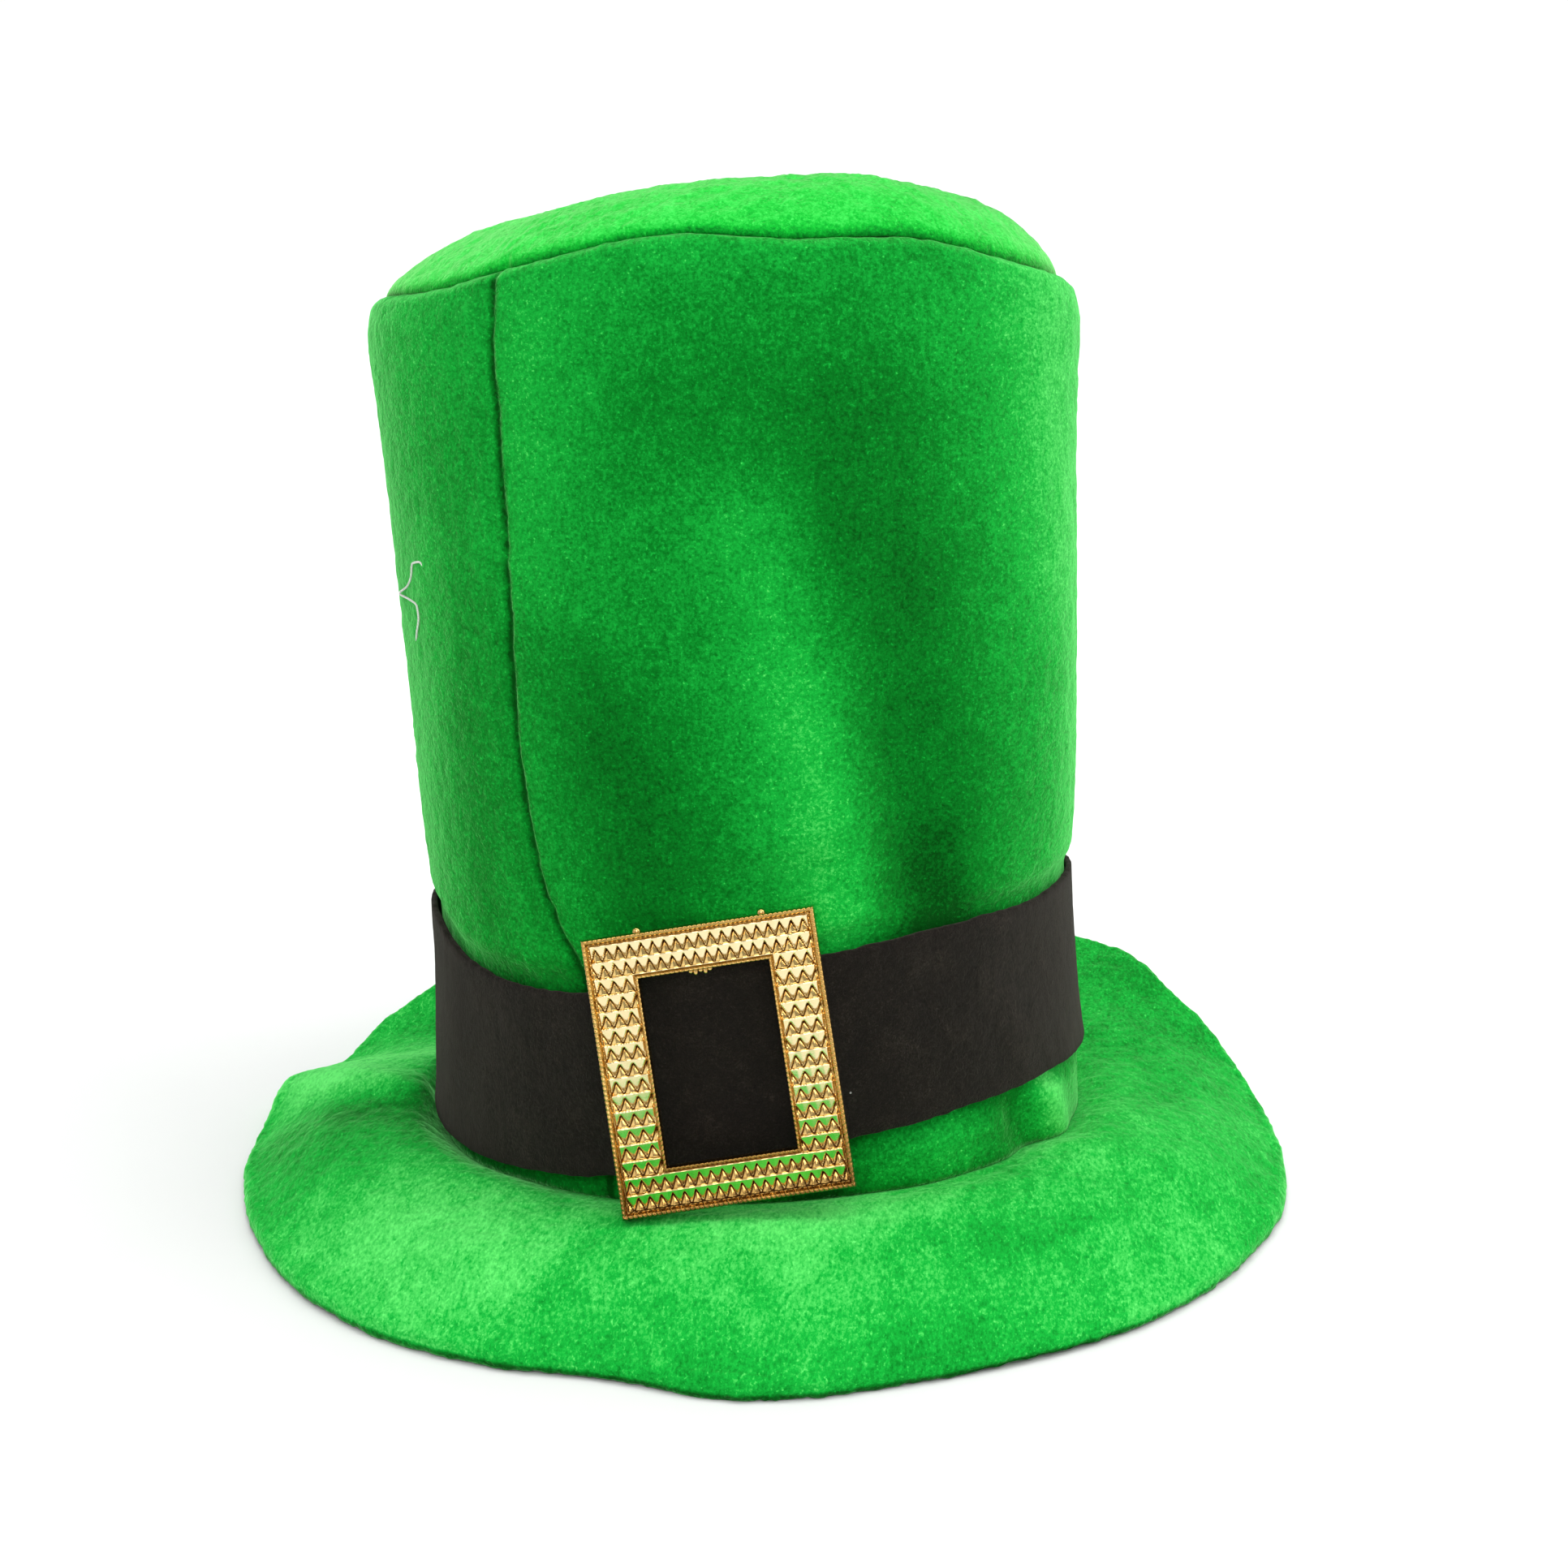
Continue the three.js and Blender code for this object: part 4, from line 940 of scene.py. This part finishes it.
def buckle_piece():
    half_w, half_h = BUCKLE_WIDTH / 2, BUCKLE_HEIGHT / 2
    across = np.r_[
        np.linspace(0, RIM_WIDTH, 11)[:-1], np.linspace(RIM_WIDTH, BUCKLE_SIDE - LIP_WIDTH, 44)[:-1],
        np.linspace(BUCKLE_SIDE - LIP_WIDTH, BUCKLE_SIDE, 9)]
    per_w, per_h = 270, 320
    loop_x = np.r_[np.linspace(-1, 1, per_w, endpoint=False), np.ones(per_h),
                   np.linspace(1, -1, per_w, endpoint=False), -np.ones(per_h)]
    loop_y = np.r_[np.ones(per_w), np.linspace(1, -1, per_h, endpoint=False), -np.ones(per_w),
                   np.linspace(-1, 1, per_h, endpoint=False)]
    bars = np.r_[np.ones(per_w, bool), np.zeros(per_h, bool), np.ones(per_w, bool), np.zeros(per_h, bool)]
    # the scales of the bars are squeezed a little, so both borders keep their own widths
    bar_across = np.interp(across, [0, RIM_WIDTH, BUCKLE_SIDE - LIP_WIDTH, BUCKLE_SIDE],
                           [0, RIM_WIDTH, BUCKLE_BAR - LIP_WIDTH, BUCKLE_BAR])
    w = half_w - across[:, None]
    h = half_h - bar_across[:, None]
    x, y = loop_x * w, loop_y * h
    depth_out = np.minimum(half_w - np.abs(x), half_h - np.abs(y))
    hole_w, hole_h = half_w - BUCKLE_SIDE, half_h - BUCKLE_BAR
    depth_in = np.maximum(np.abs(x) - hole_w, np.abs(y) - hole_h)
    along = np.where(bars, x, y)
    z, shade = buckle_face(x, y, depth_out, depth_in, along)
    top = np.stack([x, y, z], -1)
    wall = np.stack([x[0], y[0], 0 * x[0]], -1)
    outer_wall = np.stack([wall + np.array([0, 0, level]) for level in (0.0, 0.5)])
    wall = np.stack([x[-1], y[-1], 0 * x[-1]], -1)
    inner_wall = np.stack([wall + np.array([0, 0, level]) for level in (0.5, 0.0)])
    grid = np.concatenate([outer_wall, top, inner_wall])
    rows, count = grid.shape[:2]
    faces = grid_quads(rows + 1, count)
    faces = np.where(faces >= rows * count, faces - rows * count, faces)
    local = grid.reshape(-1, 3)
    gilt_shade = np.zeros(grid.shape[:2])
    gilt_shade[2:-2] = shade
    local, faces, gilt_shade = add_nubs(local, faces.tolist(), gilt_shade.ravel())
    points = local @ BUCKLE_TURNED.T + BUCKLE_BASE + BUCKLE_NORMAL * CLEARANCE
    obj = add_piece("gilt_buckle", crown_to_hat(points), faces, [GILT], None, "buckle")
    paint(obj, "gilt_shade", gilt_shade)
    return obj


# places of the casting nubs as shares of the half width, their radius, and how far they stand up or down
TOP_NUBS, TOP_NUB_RADIUS, TOP_NUB_LENGTH = (-0.52, 0.55), 1.15, 1.5
WINDOW_NUBS = (-0.115, -0.075, -0.03, 0.01, 0.05)
WINDOW_NUB_RADIUS, WINDOW_NUB_LENGTHS = 0.66, (-1.0, -1.6)
NUB_SIDES, NUB_RINGS = 16, 7
NUB_LEVEL = 1.5         # their middle above the buckle's back
NUB_SHADE = 0.5


def add_nubs(points, faces, gilt_shade):
    """Small round-ended stubs on the top edge and under the window's top edge."""
    half_w, half_h = BUCKLE_WIDTH / 2, BUCKLE_HEIGHT / 2
    sunk = 0.2
    places = [(s * half_w, half_h - sunk, TOP_NUB_RADIUS, TOP_NUB_LENGTH) for s in TOP_NUBS]
    places += [(s * half_w, half_h - BUCKLE_BAR + sunk, WINDOW_NUB_RADIUS, WINDOW_NUB_LENGTHS[k % 2])
               for k, s in enumerate(WINDOW_NUBS)]
    around = np.radians(np.arange(NUB_SIDES) * 360 / NUB_SIDES)
    for x, y, radius, length in places:
        rings = []
        for t in np.linspace(0, 1, NUB_RINGS):
            r = radius * math.sqrt(max(1 - t ** 3, 0.02))
            rings.append(np.stack([x + r * np.cos(around), np.full(NUB_SIDES, y + length * t),
                                   NUB_LEVEL + r * np.sin(around)], -1))
        start = len(points)
        last = start + NUB_SIDES * (NUB_RINGS - 1)
        ring_faces = grid_quads(NUB_RINGS, NUB_SIDES) + start
        cap_low, cap_high = list(range(start, start + NUB_SIDES)), list(range(last, last + NUB_SIDES))
        if length > 0:
            ring_faces, cap_high = ring_faces[:, ::-1], cap_high[::-1]
        else:
            cap_low = cap_low[::-1]
        points = np.concatenate([points, *rings])
        faces = [*faces, *ring_faces.tolist(), cap_low, cap_high]
        gilt_shade = np.r_[gilt_shade, np.full(NUB_SIDES * NUB_RINGS, NUB_SHADE)]
    return points, faces, gilt_shade


# Loose thread on the pile

# angle and height above the crown's foot
THREAD_ROWS = [
    (-52.4, 171), (-54, 173.5), (-57, 173), (-59, 169.5), (-63.6, 166), (-69.4, 164), (-63, 162.6),
    (-57.6, 161), (-57, 158), (-59.8, 153), (-63.4, 149),
]
THREAD_RADIUS = 0.32
THREAD_LIFT = 0.30      # its middle lies this far above the smooth wall
THREAD_SIDES = 8


def thread_piece():
    """A thread end that lies on the plush: it follows the pile and dips into it at both ends."""
    rows = np.array(THREAD_ROWS, float)
    at = np.r_[0, np.cumsum(np.hypot(np.diff(rows[:, 0]) * 1.7, np.diff(rows[:, 1])))]
    steps = np.linspace(0, at[-1], 90)
    angle, z = (through(at, rows[:, k], steps) for k in (0, 1))
    on = crown_point(angle, z / CROWN_HEIGHT, -THREAD_LIFT)
    t = np.radians(angle)
    out = np.stack([np.sin(t), -np.cos(t), 0 * t], -1)
    share = steps / at[-1]
    lift = 0.25 * np.sin(share * 17) + 0.9 * (np.abs(share - 0.5) * 2) ** 8 * -1
    line = on + out * lift[:, None]
    ahead = np.gradient(line, axis=0)
    ahead /= np.linalg.norm(ahead, axis=1, keepdims=True)
    side = np.cross(ahead, out)
    side /= np.linalg.norm(side, axis=1, keepdims=True)
    up = np.cross(side, ahead)
    around = np.radians(np.arange(THREAD_SIDES) * 360 / THREAD_SIDES)
    taper = (THREAD_RADIUS * np.minimum(1, 0.45 + 12 * np.minimum(share, 1 - share)))[:, None, None]
    grid = line[:, None] + taper * (np.cos(around)[None, :, None] * side[:, None]
                                    + np.sin(around)[None, :, None] * up[:, None])
    faces = grid_quads(len(grid), THREAD_SIDES).tolist()
    last = THREAD_SIDES * (len(grid) - 1)
    faces += [list(range(THREAD_SIDES))[::-1], list(range(last, last + THREAD_SIDES))]
    return add_piece("thread_end", crown_to_hat(grid.reshape(-1, 3)), faces, [THREAD])


crown = crown_side()
tip = crown_tip()
brim = brim_piece()
band = hat_band()
buckle_piece()
thread_piece()

# Stage, light and camera


def floor_bowl():
    """A pale floor that turns up into a wall all round, far behind the hat."""
    flat, bend = 1.7, 0.7
    profile = [(0.001, 0), (0.25, 0), (0.6, 0), (1.2, 0), (flat, 0)]
    profile += [(flat + bend * math.sin(a), bend - bend * math.cos(a))
                for a in np.radians(np.arange(6, 91, 6))]
    profile += [(flat + bend, 1.2), (flat + bend, 1.9)]
    angles = np.radians(np.arange(0, 360, 3))
    points = np.array([(r * math.cos(a), r * math.sin(a), z) for r, z in profile for a in angles])
    mesh = bpy.data.meshes.new("studio_floor")
    mesh.from_pydata(points.tolist(), [], grid_quads(len(profile), len(angles)).tolist())
    mesh.polygons.foreach_set("use_smooth", [True] * len(mesh.polygons))
    obj = bpy.data.objects.new("studio_floor", mesh)
    bpy.context.scene.collection.objects.link(obj)
    n = Nodes("studio_paper")
    n.set(Base_Color=n.ramp(n.noise(60, 3.0), (0.0, (0.79, 0.79, 0.79)), (1.0, (0.81, 0.81, 0.81))),
          Roughness=0.9, Specular_IOR_Level=0.1)
    mesh.materials.append(n.material)


def area_light(name, place, target, size, watts, colour=(1, 1, 1)):
    light = bpy.data.lights.new(name, "AREA")
    light.shape = "DISK"
    light.size = size
    light.energy = watts
    light.color = colour
    obj = bpy.data.objects.new(name, light)
    bpy.context.scene.collection.objects.link(obj)
    obj.location = place
    obj.rotation_mode = "QUATERNION"
    obj.rotation_quaternion = (Vector(target) - Vector(place)).to_track_quat("-Z", "Y")


floor_bowl()
area_light("key", (1.1, -0.2, 1.2), (0, 0, 0.15), 1.2, 9)
area_light("fill", (-1.2, -0.6, 1.0), (0, 0, 0.15), 1.4, 3.5)
area_light("top", (0.0, 0.15, 1.6), (0, 0, 0.1), 1.5, 17)
area_light("front", (0.1, -0.8, 0.6), (0.05, -0.4, 0), 0.5, 2.8)
area_light("backdrop", (0.0, 1.0, 1.5), (0, 2.4, 0.2), 1.6, 24)

world = bpy.data.worlds.new("studio")
world.use_nodes = True
world.node_tree.nodes["Background"].inputs[0].default_value = (1, 1, 1, 1)
world.node_tree.nodes["Background"].inputs[1].default_value = 0.30
bpy.context.scene.world = world
bpy.context.scene.view_settings.view_transform = "Standard"

CAMERA_PLACE = np.array([55.8, -564.6, 244.1])
CAMERA_YAW, CAMERA_PITCH = 5.0, 12.77       # degrees, to the left and down
FOCAL_SHARE = 2372.35 / 1932                # focal length as a share of the picture's width
SENSOR = 36

lens = bpy.data.cameras.new("photo_camera")
lens.sensor_width = SENSOR
lens.lens = SENSOR * FOCAL_SHARE
lens.clip_start, lens.clip_end = 0.02, 20
camera = bpy.data.objects.new("photo_camera", lens)
bpy.context.scene.collection.objects.link(camera)
camera.location = Vector((CAMERA_PLACE + STAND) * MM)
yaw, pitch = math.radians(CAMERA_YAW), math.radians(CAMERA_PITCH)
ahead = Vector((-math.sin(yaw) * math.cos(pitch), math.cos(yaw) * math.cos(pitch), -math.sin(pitch)))
camera.rotation_mode = "QUATERNION"
camera.rotation_quaternion = ahead.to_track_quat("-Z", "Y")
bpy.context.scene.camera = camera
